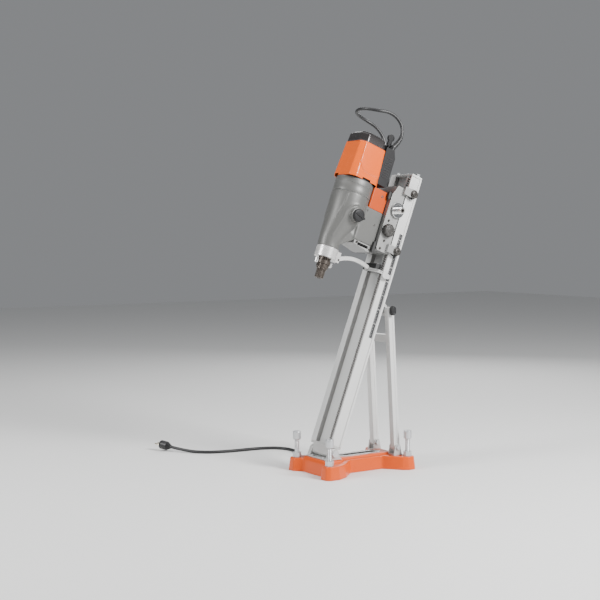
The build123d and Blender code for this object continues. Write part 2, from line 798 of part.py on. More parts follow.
# The switch box behind the motor, hollow for its electronics.
case_low = 905
case_high = 1036
case_back = -93
case_front = motor_back + shell_radius + show_gap
case_half = 34
paddle_back = -112
paddle_low = case_high + 12
with BuildPart() as switch_case:
    with BuildSketch(mast_side_on(0, 0, 0)):
        with BuildLine():
            Polyline(
                (case_front, case_low),
                (case_back - 4, case_low),
                (case_back, case_low + 20),
                (case_back, case_high - 26),
                (case_back - 12, case_high),
                (case_front, case_high),
                close=True,
            )
        make_face()
    extrude(amount=case_half, both=True)
    with BuildSketch(mast_side_on(0, 0, 0)):
        with Locations(((case_front + case_back) / 2, (case_low + case_high) / 2 - 4)):
            Rectangle(case_back - case_front - 8, case_high - case_low - 44)
    extrude(amount=case_half - 4, both=True, mode=Mode.SUBTRACT)
    for side in (-1, 1):
        with BuildSketch(mast_side_on(side * 10, paddle_back, case_high)):
            with Locations((0, 8)):
                Rectangle(16, 18)
        extrude(amount=2, both=True)
    with BuildSketch(mast_side_on(0, paddle_back, paddle_low)):
        Circle(3)
    extrude(amount=10, both=True)
save("switch_case", switch_case)

with BuildPart(up_mast(0, (case_front + case_back) / 2, (case_low + case_high) / 2 - 4)) as circuit_board:
    Box(2 * case_half - 12, case_back - case_front - 24, case_high - case_low - 56)
save("circuit_board", circuit_board)

# The rocker of the switch: a rounded paddle on the pin of the case's fork.
with BuildPart() as switch_paddle:
    with BuildSketch(mast_side_on(0, paddle_back, paddle_low)):
        with Locations((0, 34)):
            Circle(12.5)
        with Locations((0, 14)):
            Rectangle(14, 36)
        Circle(3 + run_gap, mode=Mode.SUBTRACT)
    extrude(amount=4.5, both=True)
save("switch_paddle", switch_paddle)

# The neck: a water collar round the spindle, with a lug for the steady arm.
lug_back = spindle_back + neck_radius + 9
lug_up = neck_low + 10
lug_pin = 3
with BuildPart() as neck_collar:
    with BuildSketch(up_mast(0, spindle_back, neck_low)):
        Circle(neck_radius)
        with Locations((0, neck_radius + 2)):
            Rectangle(24, 22)
        with Locations((0, neck_radius + 10)):
            Rectangle(10, 19, mode=Mode.SUBTRACT)
        Circle(collar_radius + show_gap, mode=Mode.SUBTRACT)
    extrude(amount=neck_high - neck_low)
    with BuildSketch(mast_side_on(0, lug_back, lug_up)):
        Circle(lug_pin)
    extrude(amount=14, both=True, mode=Mode.SUBTRACT)
save("neck_collar", neck_collar)

# The wedge adapter under the gearbox block and the bolts that hold the motor on it.
adapter_tip = -162
adapter_slot = -124
with BuildPart() as adapter_plate:
    with BuildSketch(mast_side_on(0, 0, 0)):
        with BuildLine():
            Polyline(
                (mount_rear, mount_low),
                (mount_rear, mount_low - 20),
                (mount_rear - 14, mount_low - 22),
                (adapter_tip, mount_low - 12),
                (adapter_tip, mount_low),
                close=True,
            )
        make_face()
    extrude(amount=mount_half - 4, both=True)
    with BuildSketch(mast_side_on(0, 0, 0)):
        with Locations((adapter_slot, mount_low - 9)):
            Rectangle(46, 10)
    extrude(amount=mount_half, both=True, mode=Mode.SUBTRACT)
save("adapter_plate", adapter_plate)

with BuildPart() as release_wedges:
    for up, tall in ((mount_low - 4, 34), (mount_high + 62, 24)):
        with BuildSketch(up_mast(0, mount_rear + mount_gap / 2, up - tall / 2)):
            Rectangle(2 * mount_half - 20, mount_gap)
        extrude(amount=tall)
save("release_wedges", release_wedges)

with BuildPart() as motor_fasteners:
    with BuildSketch(mast_side_on(mount_half - 4, 0, 0)):
        with Locations((adapter_tip + 10, mount_low - 6), (mount_rear - 11, mount_low - 12)):
            RegularPolygon(4, 6)
    extrude(amount=4)
    with BuildSketch(mast_side_on(carriage_half, 0, 0)):
        with Locations((lock_back - 6, lock_up + 34), (lock_back, lock_up - 36), (lock_back - 8, lock_up - 66)):
            Circle(4)
    extrude(amount=3)
    with BuildSketch(mast_side_on(0, lug_back, lug_up)):
        Circle(lug_pin)
    extrude(amount=15, both=True)
save("motor_fasteners", motor_fasteners)

# Selector knob for the three speeds, on its own short spindle.
with BuildPart() as selector_knob:
    with BuildSketch(mast_side_on(box_radius + 8 + slide_gap, knob_back, knob_up)):
        Circle(knob_radius)
        with PolarLocations(knob_radius + 1, 14):
            Circle(2, mode=Mode.SUBTRACT)
        with Locations((knob_radius + 1, -6)):
            Rectangle(10, 7, rotation=-15)
    extrude(amount=13)
    with BuildSketch(mast_side_on(box_radius + 8 + slide_gap, knob_back, knob_up)):
        Circle(5)
    extrude(amount=-18)
save("selector_knob", selector_knob)

# ================================ steady arm ==============================================
# A bent flat bar from the neck's lug to a guide that crosses the mast's front to its near side.
arm_far_back = -50.5
arm_far_up = 636
arm_near = (lug_back, lug_up)
with BuildPart() as steady_arm:
    with BuildSketch(mast_side_on(0, 0, 0)):
        with BuildLine() as arm_line:
            ThreePointArc(
                arm_near,
                ((arm_near[0] + arm_far_back) / 2, (arm_near[1] + arm_far_up) / 2 + 15),
                (arm_far_back, arm_far_up),
            )
            offset(amount=6.5, side=Side.BOTH)
        make_face()
        with Locations(arm_near):
            Circle(lug_pin, mode=Mode.SUBTRACT)
    extrude(amount=4.5, both=True)
save("steady_arm", steady_arm)

fork_side = half_width + 7
fork_points = [(-12, -44), (16, -44), (fork_side - 8, -36), (fork_side, -26), (fork_side, 4)]
with BuildPart() as steady_fork:
    with BuildSketch(up_mast(0, 0, arm_far_up - 24)):
        with BuildLine():
            Polyline(*fork_points)
            offset(amount=4, side=Side.BOTH)
        make_face()
        with Locations((0, -48)):
            Rectangle(9.2, 8, mode=Mode.SUBTRACT)
    extrude(amount=18)
save("steady_fork", steady_fork)

with BuildPart(mast_front_on(2, -half_depth - slide_gap - 10, arm_far_up + 6)) as mast_wiper:
    Box(70, 24, 20)
save("mast_wiper", mast_wiper)

# ================================ drive train =============================================
# The spindle: a threaded nose, a collar, the water seal's seat and the gear's seat.
with BuildPart(up_mast(0, spindle_back, spindle_end)) as drill_spindle:
    stack = [
        (0, thread_radius, thread_length),
        (thread_length, 18, 5),
        (thread_length + 5, collar_radius, neck_high - spindle_end - thread_length - 10),
        (neck_high - spindle_end - 5, journal_radius, gear_floor - neck_high + 5),
        (gear_floor - spindle_end, journal_radius - 3, 44),
    ]
    for start, radius, tall in stack:
        with BuildSketch(up_mast(0, spindle_back, spindle_end + start)):
            Circle(radius)
        extrude(amount=tall)
    with BuildSketch(up_mast(0, spindle_back, spindle_end)):
        Circle(6)
    extrude(amount=80, mode=Mode.SUBTRACT)
save("drill_spindle", drill_spindle)

ear_reach = 27.6
ring_low = 583
with BuildPart() as release_ring:
    with BuildSketch(up_mast(0, spindle_back, ring_low)):
        Circle(collar_radius + 3)
        with Locations((0, ear_reach), (0, -ear_reach)):
            Circle(6.5)
        Circle(collar_radius, mode=Mode.SUBTRACT)
    extrude(amount=12)
save("release_ring", release_ring)

with BuildPart() as spindle_bearings:
    for low in (neck_high + 6, gear_floor - 14):
        with BuildSketch(up_mast(0, spindle_back, low)):
            Circle(24)
            Circle(journal_radius + run_gap, mode=Mode.SUBTRACT)
        extrude(amount=14)
    with BuildSketch(up_mast(0, motor_back, box_seam + 12)):
        Circle(14)
        Circle(7 + run_gap, mode=Mode.SUBTRACT)
    extrude(amount=14)
save("spindle_bearings", spindle_bearings)

to_lay = atan((lay_back - motor_back) / lay_x)
from_spindle = atan((lay_back - spindle_back) / lay_x)
spindle_teeth, lay_small, lay_large, motor_teeth = 26, 14, 30, 10
gear_low = gear_floor + 6
with BuildPart() as spindle_gear:
    with BuildSketch(up_mast(0, spindle_back, gear_low)):
        with BuildLine():
            turn = from_spindle + pi / spindle_teeth
            Polyline(*gear_points(spindle_teeth, train_module, turn), close=True)
        make_face()
        Circle(journal_radius - 3, mode=Mode.SUBTRACT)
    extrude(amount=18)
save("spindle_gear", spindle_gear)

with BuildPart() as lay_shaft:
    with BuildSketch(up_mast(lay_x, lay_back, gear_low)):
        with BuildLine():
            Polyline(*gear_points(lay_small, train_module, from_spindle + pi), close=True)
        make_face()
    extrude(amount=44)
    with BuildSketch(up_mast(lay_x, lay_back, gear_low + 44)):
        with BuildLine():
            turn = to_lay + pi + pi / lay_large
            Polyline(*gear_points(lay_large, train_module, turn), close=True)
        make_face()
    extrude(amount=14)
    with BuildSketch(up_mast(lay_x, lay_back, gear_low - 5)):
        Circle(6)
    extrude(amount=74)
save("lay_shaft", lay_shaft)

core_low = 912
with BuildPart() as armature:
    with BuildSketch(up_mast(0, motor_back, gear_low + 42)):
        with BuildLine():
            Polyline(*gear_points(motor_teeth, train_module, to_lay), close=True)
        make_face()
    extrude(amount=20)
    for start, radius, tall in ((gear_low + 62, 5, 200), (box_seam, 7, 28), (core_low, 26, 70)):
        with BuildSketch(up_mast(0, motor_back, start)):
            Circle(radius)
        extrude(amount=tall)
    with BuildSketch(up_mast(0, motor_back, core_low + 76)):
        Circle(16)
    extrude(amount=22)
    with BuildSketch(up_mast(0, motor_back, box_top + 4)):
        Circle(48)
    extrude(amount=10)
save("armature", armature)

with BuildPart() as field_coil:
    with BuildSketch(up_mast(0, motor_back, core_low)):
        Circle(coil_radius)
        Circle(27, mode=Mode.SUBTRACT)
    extrude(amount=70)
save("field_coil", field_coil)

# ================================ mains cord ==============================================
gland_x = 24
gland_back = -108
exit_middle = in_mast(gland_x, gland_back, case_high + 12)
exit_aim = in_mast(gland_x + 4, gland_back + 14, case_high + 37)
cord_exit = Plane(exit_middle, x_dir=(1, 0, 0), z_dir=exit_aim - exit_middle)
with BuildPart() as cable_gland:
    with BuildSketch(up_mast(gland_x, gland_back - 2, case_high)):
        Circle(10)
    with BuildSketch(cord_exit):
        Circle(9)
    loft()
    with BuildSketch(cord_exit):
        Circle(cord_radius)
    extrude(amount=-20, mode=Mode.SUBTRACT)
save("cable_gland", cable_gland)

cord_back = half_depth + cord_radius + 0.5
with BuildPart() as cord_clips:
    for up in (clip_high - 8, clip_middle, clip_low + 8):
        with BuildSketch(up_mast(clip_x, half_depth, up)):
            with Locations((0, cord_back - half_depth)):
                Rectangle(2 * cord_radius + 6, 2 * (cord_back - half_depth))
                Circle(cord_radius, mode=Mode.SUBTRACT)
        extrude(amount=8, both=True)
save("cord_clips", cord_clips)

with BuildPart() as mast_cord:
    with BuildSketch(up_mast(clip_x, cord_back, clip_low)):
        Circle(cord_radius)
    extrude(amount=clip_high - clip_low)
save("mast_cord", mast_cord)


def cord_tube(name, route):
    """A tube along straight runs joined by the largest arcs that the runs allow."""
    radii = []
    for before, corner, after in zip(route, route[1:], route[2:]):
        turn = radians((corner - before).get_angle(after - corner))
        shorter = min((corner - before).length, (after - corner).length)
        radii.append(0.45 * shorter / tan(turn / 2))
    with BuildPart() as tube:
        with BuildLine():
            path = FilletPolyline(*route, radius=radii)
        with BuildSketch(Plane(route[0], z_dir=route[1] - route[0])):
            Circle(cord_radius)
        sweep()
    ideal = pi * cord_radius**2 * path.length
    print(name, "length", round(path.length), "volume / ideal", round(tube.part.volume / ideal, 4))
    print(name, "radii", [round(radius) for radius in radii])
    save(name, tube)


# From the gland the cord loops over the motor, hangs behind the mast and enters the top clip.
upper_route = [
    exit_middle,
    exit_aim,
    in_mast(29, -91, 1103),
    in_mast(25, -101, 1132),
    in_mast(14, -122, 1153),
    in_mast(2, -152, 1161),
    in_mast(-7, -189, 1151),
    in_mast(-33, -215, 1149),
    in_mast(-69, -224, 1148),
    in_mast(-104, -213, 1146),
    in_mast(-132, -182, 1148),
    in_mast(-137, -138, 1147),
    in_mast(-120, -98, 1137),
    in_mast(-105, -66, 1107),
    in_mast(-98, -44, 1066),
    in_mast(-96, -24, 1020),
    in_mast(-97, -3, 973),
    in_mast(-98, 22, 906),
    in_mast(-99, 29, 850),
    in_mast(-95, 33, 800),
    in_mast(-79, 34, 748),
    in_mast(-54, 31, 712),
    in_mast(clip_x, cord_back, clip_high + 36),
    in_mast(clip_x, cord_back, clip_high),
]
cord_tube("upper_cord", upper_route)

# From the bottom clip it drops over the base's edge and runs out along the floor to its plug.
floor_lie = cord_radius + 0.1
plug_lie = 17.5
lower_route = [
    in_mast(clip_x, cord_back, clip_low),
    in_mast(clip_x, cord_back, clip_low - 24),
    Vector(-44, 44, 100),
    Vector(-58, 40, 70),
    Vector(-84, 48, 44),
    Vector(-118, 60, 20),
    Vector(-160, 70, floor_lie),
    Vector(-212, 70, floor_lie),
    Vector(-270, 82, floor_lie),
    Vector(-330, 112, floor_lie),
    Vector(-396, 128, floor_lie),
    Vector(-452, 100, floor_lie),
    Vector(-478, 40, floor_lie),
    Vector(-484, -34, floor_lie),
    Vector(-494, -110, floor_lie),
    Vector(-520, -170, floor_lie),
    Vector(-572, -216, floor_lie + 2),
    Vector(-626, -250, plug_lie),
]
cord_tube("lower_cord", lower_route)

plug_start = lower_route[-1]
plug_dir = (plug_start - lower_route[-2]).normalized()
plug_across = Vector(-plug_dir.Y, plug_dir.X, 0)
plug_neck = plug_start + plug_dir * 14
plug_face = plug_start + plug_dir * 44
with BuildPart() as mains_plug:
    with BuildSketch(Plane(plug_start, z_dir=plug_dir)):
        Circle(8)
    with BuildSketch(Plane(plug_neck, z_dir=plug_dir)):
        Circle(16)
    loft()
    with BuildSketch(Plane(plug_neck, z_dir=plug_dir)):
        Circle(16)
    extrude(amount=30)
    with BuildSketch(Plane(plug_face, x_dir=plug_across, z_dir=plug_dir)):
        with Locations((-9.5, 0), (9.5, 0)):
            Circle(2.4)
    extrude(amount=19)
save("mains_plug", mains_plug)
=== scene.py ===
import json
import math

import bmesh
import bpy
from mathutils import Vector
from mathutils.bvhtree import BVHTree
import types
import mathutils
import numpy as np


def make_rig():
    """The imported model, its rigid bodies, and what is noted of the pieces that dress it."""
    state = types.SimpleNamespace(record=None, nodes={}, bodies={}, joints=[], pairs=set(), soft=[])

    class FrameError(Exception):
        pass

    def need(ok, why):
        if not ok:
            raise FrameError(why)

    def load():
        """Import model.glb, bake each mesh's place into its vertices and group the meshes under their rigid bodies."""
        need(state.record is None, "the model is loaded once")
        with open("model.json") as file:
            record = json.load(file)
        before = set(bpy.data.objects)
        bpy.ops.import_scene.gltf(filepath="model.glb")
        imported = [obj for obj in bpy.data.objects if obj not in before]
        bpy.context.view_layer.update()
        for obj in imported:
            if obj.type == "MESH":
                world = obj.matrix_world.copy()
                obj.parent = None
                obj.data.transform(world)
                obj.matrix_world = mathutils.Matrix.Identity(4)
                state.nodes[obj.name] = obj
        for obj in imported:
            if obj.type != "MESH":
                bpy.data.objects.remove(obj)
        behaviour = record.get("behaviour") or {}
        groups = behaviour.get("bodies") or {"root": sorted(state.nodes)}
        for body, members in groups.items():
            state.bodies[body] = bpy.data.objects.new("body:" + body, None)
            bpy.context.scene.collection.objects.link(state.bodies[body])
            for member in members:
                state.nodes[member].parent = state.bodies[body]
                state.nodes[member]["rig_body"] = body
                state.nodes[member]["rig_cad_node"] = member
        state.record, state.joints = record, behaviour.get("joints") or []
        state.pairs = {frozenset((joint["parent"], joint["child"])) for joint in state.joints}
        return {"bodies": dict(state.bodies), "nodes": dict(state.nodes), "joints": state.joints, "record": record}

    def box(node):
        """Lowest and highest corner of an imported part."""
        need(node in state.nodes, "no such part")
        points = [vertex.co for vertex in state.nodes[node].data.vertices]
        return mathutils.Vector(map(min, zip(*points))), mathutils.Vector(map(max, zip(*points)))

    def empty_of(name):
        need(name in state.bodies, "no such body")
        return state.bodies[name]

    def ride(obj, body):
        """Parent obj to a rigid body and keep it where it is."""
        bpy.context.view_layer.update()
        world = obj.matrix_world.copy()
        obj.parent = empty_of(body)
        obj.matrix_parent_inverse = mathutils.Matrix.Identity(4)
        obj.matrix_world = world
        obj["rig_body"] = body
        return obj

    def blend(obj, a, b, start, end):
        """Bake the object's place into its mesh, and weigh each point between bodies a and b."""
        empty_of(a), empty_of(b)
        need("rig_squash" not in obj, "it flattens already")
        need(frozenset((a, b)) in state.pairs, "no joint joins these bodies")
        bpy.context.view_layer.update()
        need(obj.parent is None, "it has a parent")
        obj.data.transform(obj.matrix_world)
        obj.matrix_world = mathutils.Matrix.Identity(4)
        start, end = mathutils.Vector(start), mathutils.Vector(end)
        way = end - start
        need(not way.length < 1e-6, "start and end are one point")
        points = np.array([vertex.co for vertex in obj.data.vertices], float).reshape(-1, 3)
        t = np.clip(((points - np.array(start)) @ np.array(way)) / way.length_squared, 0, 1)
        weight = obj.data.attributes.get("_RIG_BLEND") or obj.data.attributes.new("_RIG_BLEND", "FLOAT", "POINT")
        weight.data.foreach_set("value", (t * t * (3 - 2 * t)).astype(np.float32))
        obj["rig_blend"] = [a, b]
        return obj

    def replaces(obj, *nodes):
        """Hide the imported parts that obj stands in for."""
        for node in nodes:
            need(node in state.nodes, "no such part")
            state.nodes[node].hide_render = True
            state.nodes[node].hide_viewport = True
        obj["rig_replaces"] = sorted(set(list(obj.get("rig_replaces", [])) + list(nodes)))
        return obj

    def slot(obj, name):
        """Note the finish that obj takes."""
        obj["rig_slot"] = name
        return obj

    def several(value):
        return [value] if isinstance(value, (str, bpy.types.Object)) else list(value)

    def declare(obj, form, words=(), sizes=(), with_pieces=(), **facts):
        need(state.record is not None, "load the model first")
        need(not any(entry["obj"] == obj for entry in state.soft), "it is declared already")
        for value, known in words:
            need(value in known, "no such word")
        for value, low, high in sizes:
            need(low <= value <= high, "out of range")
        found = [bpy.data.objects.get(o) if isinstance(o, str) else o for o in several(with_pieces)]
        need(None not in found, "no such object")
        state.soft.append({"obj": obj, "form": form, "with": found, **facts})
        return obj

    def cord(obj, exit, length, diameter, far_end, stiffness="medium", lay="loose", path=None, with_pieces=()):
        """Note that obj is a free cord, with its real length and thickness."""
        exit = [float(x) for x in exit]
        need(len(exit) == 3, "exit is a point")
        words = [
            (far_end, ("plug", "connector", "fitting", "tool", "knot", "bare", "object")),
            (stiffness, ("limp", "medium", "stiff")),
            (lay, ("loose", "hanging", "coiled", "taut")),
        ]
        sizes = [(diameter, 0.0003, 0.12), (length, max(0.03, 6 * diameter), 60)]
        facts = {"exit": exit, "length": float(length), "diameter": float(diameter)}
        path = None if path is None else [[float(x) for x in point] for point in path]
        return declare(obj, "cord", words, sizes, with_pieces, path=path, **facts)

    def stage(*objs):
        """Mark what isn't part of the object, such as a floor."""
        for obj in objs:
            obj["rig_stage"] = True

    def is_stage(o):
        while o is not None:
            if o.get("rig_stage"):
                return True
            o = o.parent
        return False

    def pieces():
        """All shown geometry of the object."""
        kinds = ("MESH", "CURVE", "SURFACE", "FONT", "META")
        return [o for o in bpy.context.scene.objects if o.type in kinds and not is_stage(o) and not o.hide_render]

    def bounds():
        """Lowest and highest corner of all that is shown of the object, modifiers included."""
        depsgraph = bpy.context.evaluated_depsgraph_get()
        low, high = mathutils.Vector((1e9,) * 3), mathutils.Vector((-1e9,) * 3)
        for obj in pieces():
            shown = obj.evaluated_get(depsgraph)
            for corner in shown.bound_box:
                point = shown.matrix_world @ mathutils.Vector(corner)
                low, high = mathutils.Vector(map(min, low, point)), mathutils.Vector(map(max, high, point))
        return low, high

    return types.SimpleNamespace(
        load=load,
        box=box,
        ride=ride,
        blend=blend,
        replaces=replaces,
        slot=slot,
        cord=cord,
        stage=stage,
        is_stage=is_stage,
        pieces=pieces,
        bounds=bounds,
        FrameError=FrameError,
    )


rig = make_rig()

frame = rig.load()
cad_low, cad_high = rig.bounds()


# ---- Camera, lights and floor ----
# A long lens looks at the rig from its near front corner, a little above the base. Broad soft
# lights stand in front, at the near side and overhead, over a plain pale floor.
camera_data = bpy.data.cameras.new("camera")
camera_data.lens = 69.8
camera_data.clip_end = 60
camera = bpy.data.objects.new("camera", camera_data)
bpy.context.scene.collection.objects.link(camera)
camera.location = (3.167, -2.191, 0.7975)
look = Vector((-0.8326, 0.5510, -0.0566))
camera.rotation_euler = look.to_track_quat("-Z", "Y").to_euler()
bpy.context.scene.camera = camera

for name, place, size, power in (
    ("key_light", (-0.4, -3.4, 2.2), 1.2, 112),
    ("side_light", (3.0, 1.1, 2.4), 1.3, 280),
    ("top_light", (-0.6, -0.2, 3.6), 2.2, 40),
    ("back_light", (-2.2, 2.4, 1.8), 1.6, 30),
):
    lamp_data = bpy.data.lights.new(name, "AREA")
    lamp_data.size = size
    lamp_data.energy = power
    lamp = bpy.data.objects.new(name, lamp_data)
    lamp.location = place
    lamp.rotation_euler = (Vector((0, 0.1, 0.5)) - Vector(place)).to_track_quat("-Z", "Y").to_euler()
    bpy.context.scene.collection.objects.link(lamp)

world = bpy.data.worlds.new("studio")
world.use_nodes = True
world.node_tree.nodes["Background"].inputs["Color"].default_value = (0.80, 0.82, 0.85, 1)
world.node_tree.nodes["Background"].inputs["Strength"].default_value = 0.30
bpy.context.scene.world = world


def new_piece(name, mesh):
    piece = bpy.data.objects.new(name, mesh)
    bpy.context.scene.collection.objects.link(piece)
    return piece


def mesh_of(name, points, faces):
    mesh = bpy.data.meshes.new(name)
    mesh.from_pydata([tuple(p) for p in points], [], faces)
    mesh.update()
    return mesh


floor_half = 9.0
floor = new_piece("studio_floor", mesh_of("studio_floor", [
    (-floor_half, -floor_half, 0), (floor_half, -floor_half, 0),
    (floor_half, floor_half, 0), (-floor_half, floor_half, 0)], [(0, 1, 2, 3)]))
floor_paint = bpy.data.materials.new("pale floor")
floor_paint.use_nodes = True
floor_paint.node_tree.nodes["Principled BSDF"].inputs["Base Color"].default_value = (0.80, 0.80, 0.79, 1)
floor_paint.node_tree.nodes["Principled BSDF"].inputs["Roughness"].default_value = 0.75
floor.data.materials.append(floor_paint)
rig.stage(floor)


# ---- Mains cord, sleeve and plug ----
# An 11 mm rubber-sheathed cord leaves a ribbed sleeve on the switch box, loops over the motor,
# is clipped down the mast's back, and runs out over the floor to a moulded plug.
LEAN = math.radians(20.7)
HINGE_Z = 0.073


def on_mast(x, back, up):
    """A point in the mast's own frame, which starts at the hinge and leans with the mast."""
    return Vector((
        x,
        up * math.sin(LEAN) + back * math.cos(LEAN),
        HINGE_Z + up * math.cos(LEAN) - back * math.sin(LEAN),
    ))


UP_MAST = on_mast(0, 0, 1) - on_mast(0, 0, 0)
BACK_MAST = on_mast(0, 1, 0) - on_mast(0, 0, 0)


def feed(tree, node, inputs):
    """Give a node's inputs, by name or number, a value to hold or an output to link."""
    for socket, value in inputs.items():
        if isinstance(value, bpy.types.NodeSocket):
            tree.links.new(value, node.inputs[socket])
        else:
            node.inputs[socket].default_value = value


def shader_node(tree, kind, inputs=None, operation=None):
    """A new shader node with its operation and its inputs."""
    node = tree.nodes.new("ShaderNode" + kind)
    if kind == "Mix":
        node.data_type = "RGBA"
    if operation:
        node.operation = operation
    feed(tree, node, inputs or {})
    return node


def finish_of(name, colour, metallic, rough, grain=260.0, depth=0.05, mottle=0.06, rough_spread=0.10,
              drawn=None, worn=None, coat=0.0, specular=0.5):
    """A procedural finish: mottled colour, uneven gloss and a fine bump, with optional drawn lines
    (the tilt of their direction and their stretch) and worn edges (colour, radius, strength)."""
    material = bpy.data.materials.new(name)
    material.use_nodes = True
    tree = material.node_tree
    place = shader_node(tree, "TexCoord").outputs["Object"]
    fine_place = place
    if drawn:
        tilted = shader_node(tree, "Mapping", {"Vector": place, "Rotation": drawn[0]}).outputs["Vector"]
        fine_place = shader_node(tree, "Mapping", {"Vector": tilted, "Scale": drawn[1]}).outputs["Vector"]
    broad = shader_node(tree, "TexNoise", {"Vector": place, "Scale": 18, "Detail": 5}).outputs["Fac"]
    fine = shader_node(tree, "TexNoise", {"Vector": fine_place, "Scale": grain, "Detail": 4}).outputs["Fac"]
    both = shader_node(tree, "Math", {0: broad, 1: fine}, "ADD").outputs[0]
    half = shader_node(tree, "Math", {0: both, 1: 0.5}, "MULTIPLY").outputs[0]
    shade = shader_node(tree, "Mix", {
        "Factor": half, "A": tuple(c * (1 - mottle) for c in colour) + (1,),
        "B": tuple(min(1, c * (1 + mottle)) for c in colour) + (1,)}).outputs["Result"]
    gloss = shader_node(tree, "MapRange", {
        "Value": half, "To Min": max(0.02, rough - rough_spread), "To Max": rough + rough_spread})
    if worn:
        worn_colour, worn_radius, worn_strength = worn
        rounded = shader_node(tree, "Bevel", {"Radius": worn_radius})
        rounded.samples = 4
        true_normal = shader_node(tree, "NewGeometry").outputs["Normal"]
        match = shader_node(tree, "VectorMath", {0: rounded.outputs["Normal"], 1: true_normal}, "DOT_PRODUCT")
        ragged = shader_node(tree, "Math", {0: fine, 1: 0.05, 2: match.outputs["Value"]}, "MULTIPLY_ADD")
        edge = shader_node(tree, "MapRange", {
            "Value": ragged.outputs[0], "From Min": 0.985, "From Max": 0.90, "To Max": worn_strength})
        shade = shader_node(tree, "Mix", {
            "Factor": edge.outputs["Result"], "A": shade, "B": tuple(worn_colour) + (1,)}).outputs["Result"]
    bump = shader_node(tree, "Bump", {"Height": fine, "Strength": depth, "Distance": 0.0006})
    feed(tree, tree.nodes["Principled BSDF"], {
        "Metallic": metallic, "Coat Weight": coat, "Coat Roughness": 0.08, "Specular IOR Level": specular,
        "Base Color": shade, "Roughness": gloss.outputs["Result"], "Normal": bump.outputs["Normal"]})
    return material


def ring_skin(rings, closed_ends=True):
    """Points and faces of a skin over rings that have equally many points."""
    count = len(rings[0])
    points = [p for ring in rings for p in ring]
    faces = []
    for row in range(len(rings) - 1):
        for i in range(count):
            a, b = row * count + i, row * count + (i + 1) % count
            faces.append((a, b, b + count, a + count))
    if closed_ends:
        faces.append(tuple(range(count))[::-1])
        faces.append(tuple(range(len(points) - count, len(points))))
    return points, faces


def smooth(mesh, sharp=None):
    """Shade a mesh smoothly, with edges sharper than an angle in degrees kept crisp."""
    bm = bmesh.new()
    bm.from_mesh(mesh)
    bmesh.ops.recalc_face_normals(bm, faces=bm.faces)
    for face in bm.faces:
        face.smooth = True
    if sharp is not None:
        for edge in bm.edges:
            if len(edge.link_faces) == 2 and edge.calc_face_angle() > math.radians(sharp):
                edge.smooth = False
    bm.to_mesh(mesh)
    bm.free()
    return mesh


def skinned(name, rings, sharp, closed_ends=True):
    """A new piece with a skin over rings of points."""
    return new_piece(name, smooth(mesh_of(name, *ring_skin(rings, closed_ends)), sharp))


def ring_of(place, across, other, radius, count):
    """The points of a ring about a place, where the radius may depend on the angle."""
    ring = []
    for i in range(count):
        angle = 2 * math.pi * i / count
        r = radius(angle) if callable(radius) else radius
        ring.append(place + (across * math.cos(angle) + other * math.sin(angle)) * r)
    return ring


def turned(name, origin, axis, profile, count=64, sharp=35):
    """A piece turned about an axis from (along, radius) pairs, where a radius may depend on the
    angle."""
    axis = Vector(axis).normalized()
    across = axis.cross(Vector((1, 0, 0)))
    if across.length < 0.1:
        across = axis.cross(Vector((0, 0, 1)))
    across.normalize()
    other = axis.cross(across)
    return skinned(name, [ring_of(Vector(origin) + axis * along, across, other, radius, count)
                          for along, radius in profile], sharp)


def fitted(piece, body, material, slot, *nodes):
    """Give a made piece its finish and body, and say which CAD nodes it stands for."""
    piece.data.materials.append(material)
    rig.ride(piece, body)
    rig.slot(piece, slot)
    if nodes:
        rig.replaces(piece, *nodes)
    return piece


def line_of(route):
    """The points along the smooth line that a cord takes through its route."""
    data = bpy.data.curves.new("route", "CURVE")
    data.dimensions = "3D"
    data.resolution_u = 12
    line = data.splines.new("NURBS")
    line.points.add(len(route) - 1)
    for point, place in zip(line.points, route):
        point.co = (*place, 1)
    line.order_u = 3
    line.use_endpoint_u = True
    guide = bpy.data.objects.new("route", data)
    bare = bpy.data.meshes.new_from_object(guide)
    points = [v.co.copy() for v in bare.vertices]
    bpy.data.objects.remove(guide)
    bpy.data.curves.remove(data)
    bpy.data.meshes.remove(bare)
    return points


def swept_rings(stops, count):
    """Round rings from (place, heading, radius) stops, each twisted as little as can be."""
    rings, across = [], None
    for place, heading, radius in stops:
        if across is None:
            across = heading.orthogonal().normalized()
        across = (across - heading * across.dot(heading)).normalized()
        rings.append(ring_of(place, across, heading.cross(across), radius, count))
    return rings


def skin_along(name, points, stations, count=24):
    """A round skin along a line of points, from (distance, radius) stations."""
    travel = [0.0]
    for a, b in zip(points, points[1:]):
        travel.append(travel[-1] + (b - a).length)
    stops, leg = [], 0
    for distance, radius in stations:
        while leg < len(points) - 2 and travel[leg + 1] < distance:
            leg += 1
        share = (distance - travel[leg]) / (travel[leg + 1] - travel[leg])
        before, after = points[max(leg - 1, 0)], points[min(leg + 2, len(points) - 1)]
        stops.append((points[leg].lerp(points[leg + 1], share), (after - before).normalized(), radius))
    return skinned(name, swept_rings(stops, count), 40)


def cord_along(name, points, radius):
    """A plain cord's skin, with a ring at every point of its line."""
    travel, stations = 0.0, [(0.0, radius)]
    for a, b in zip(points, points[1:]):
        travel += (b - a).length
        stations.append((travel, radius))
    return skin_along(name, points, stations)


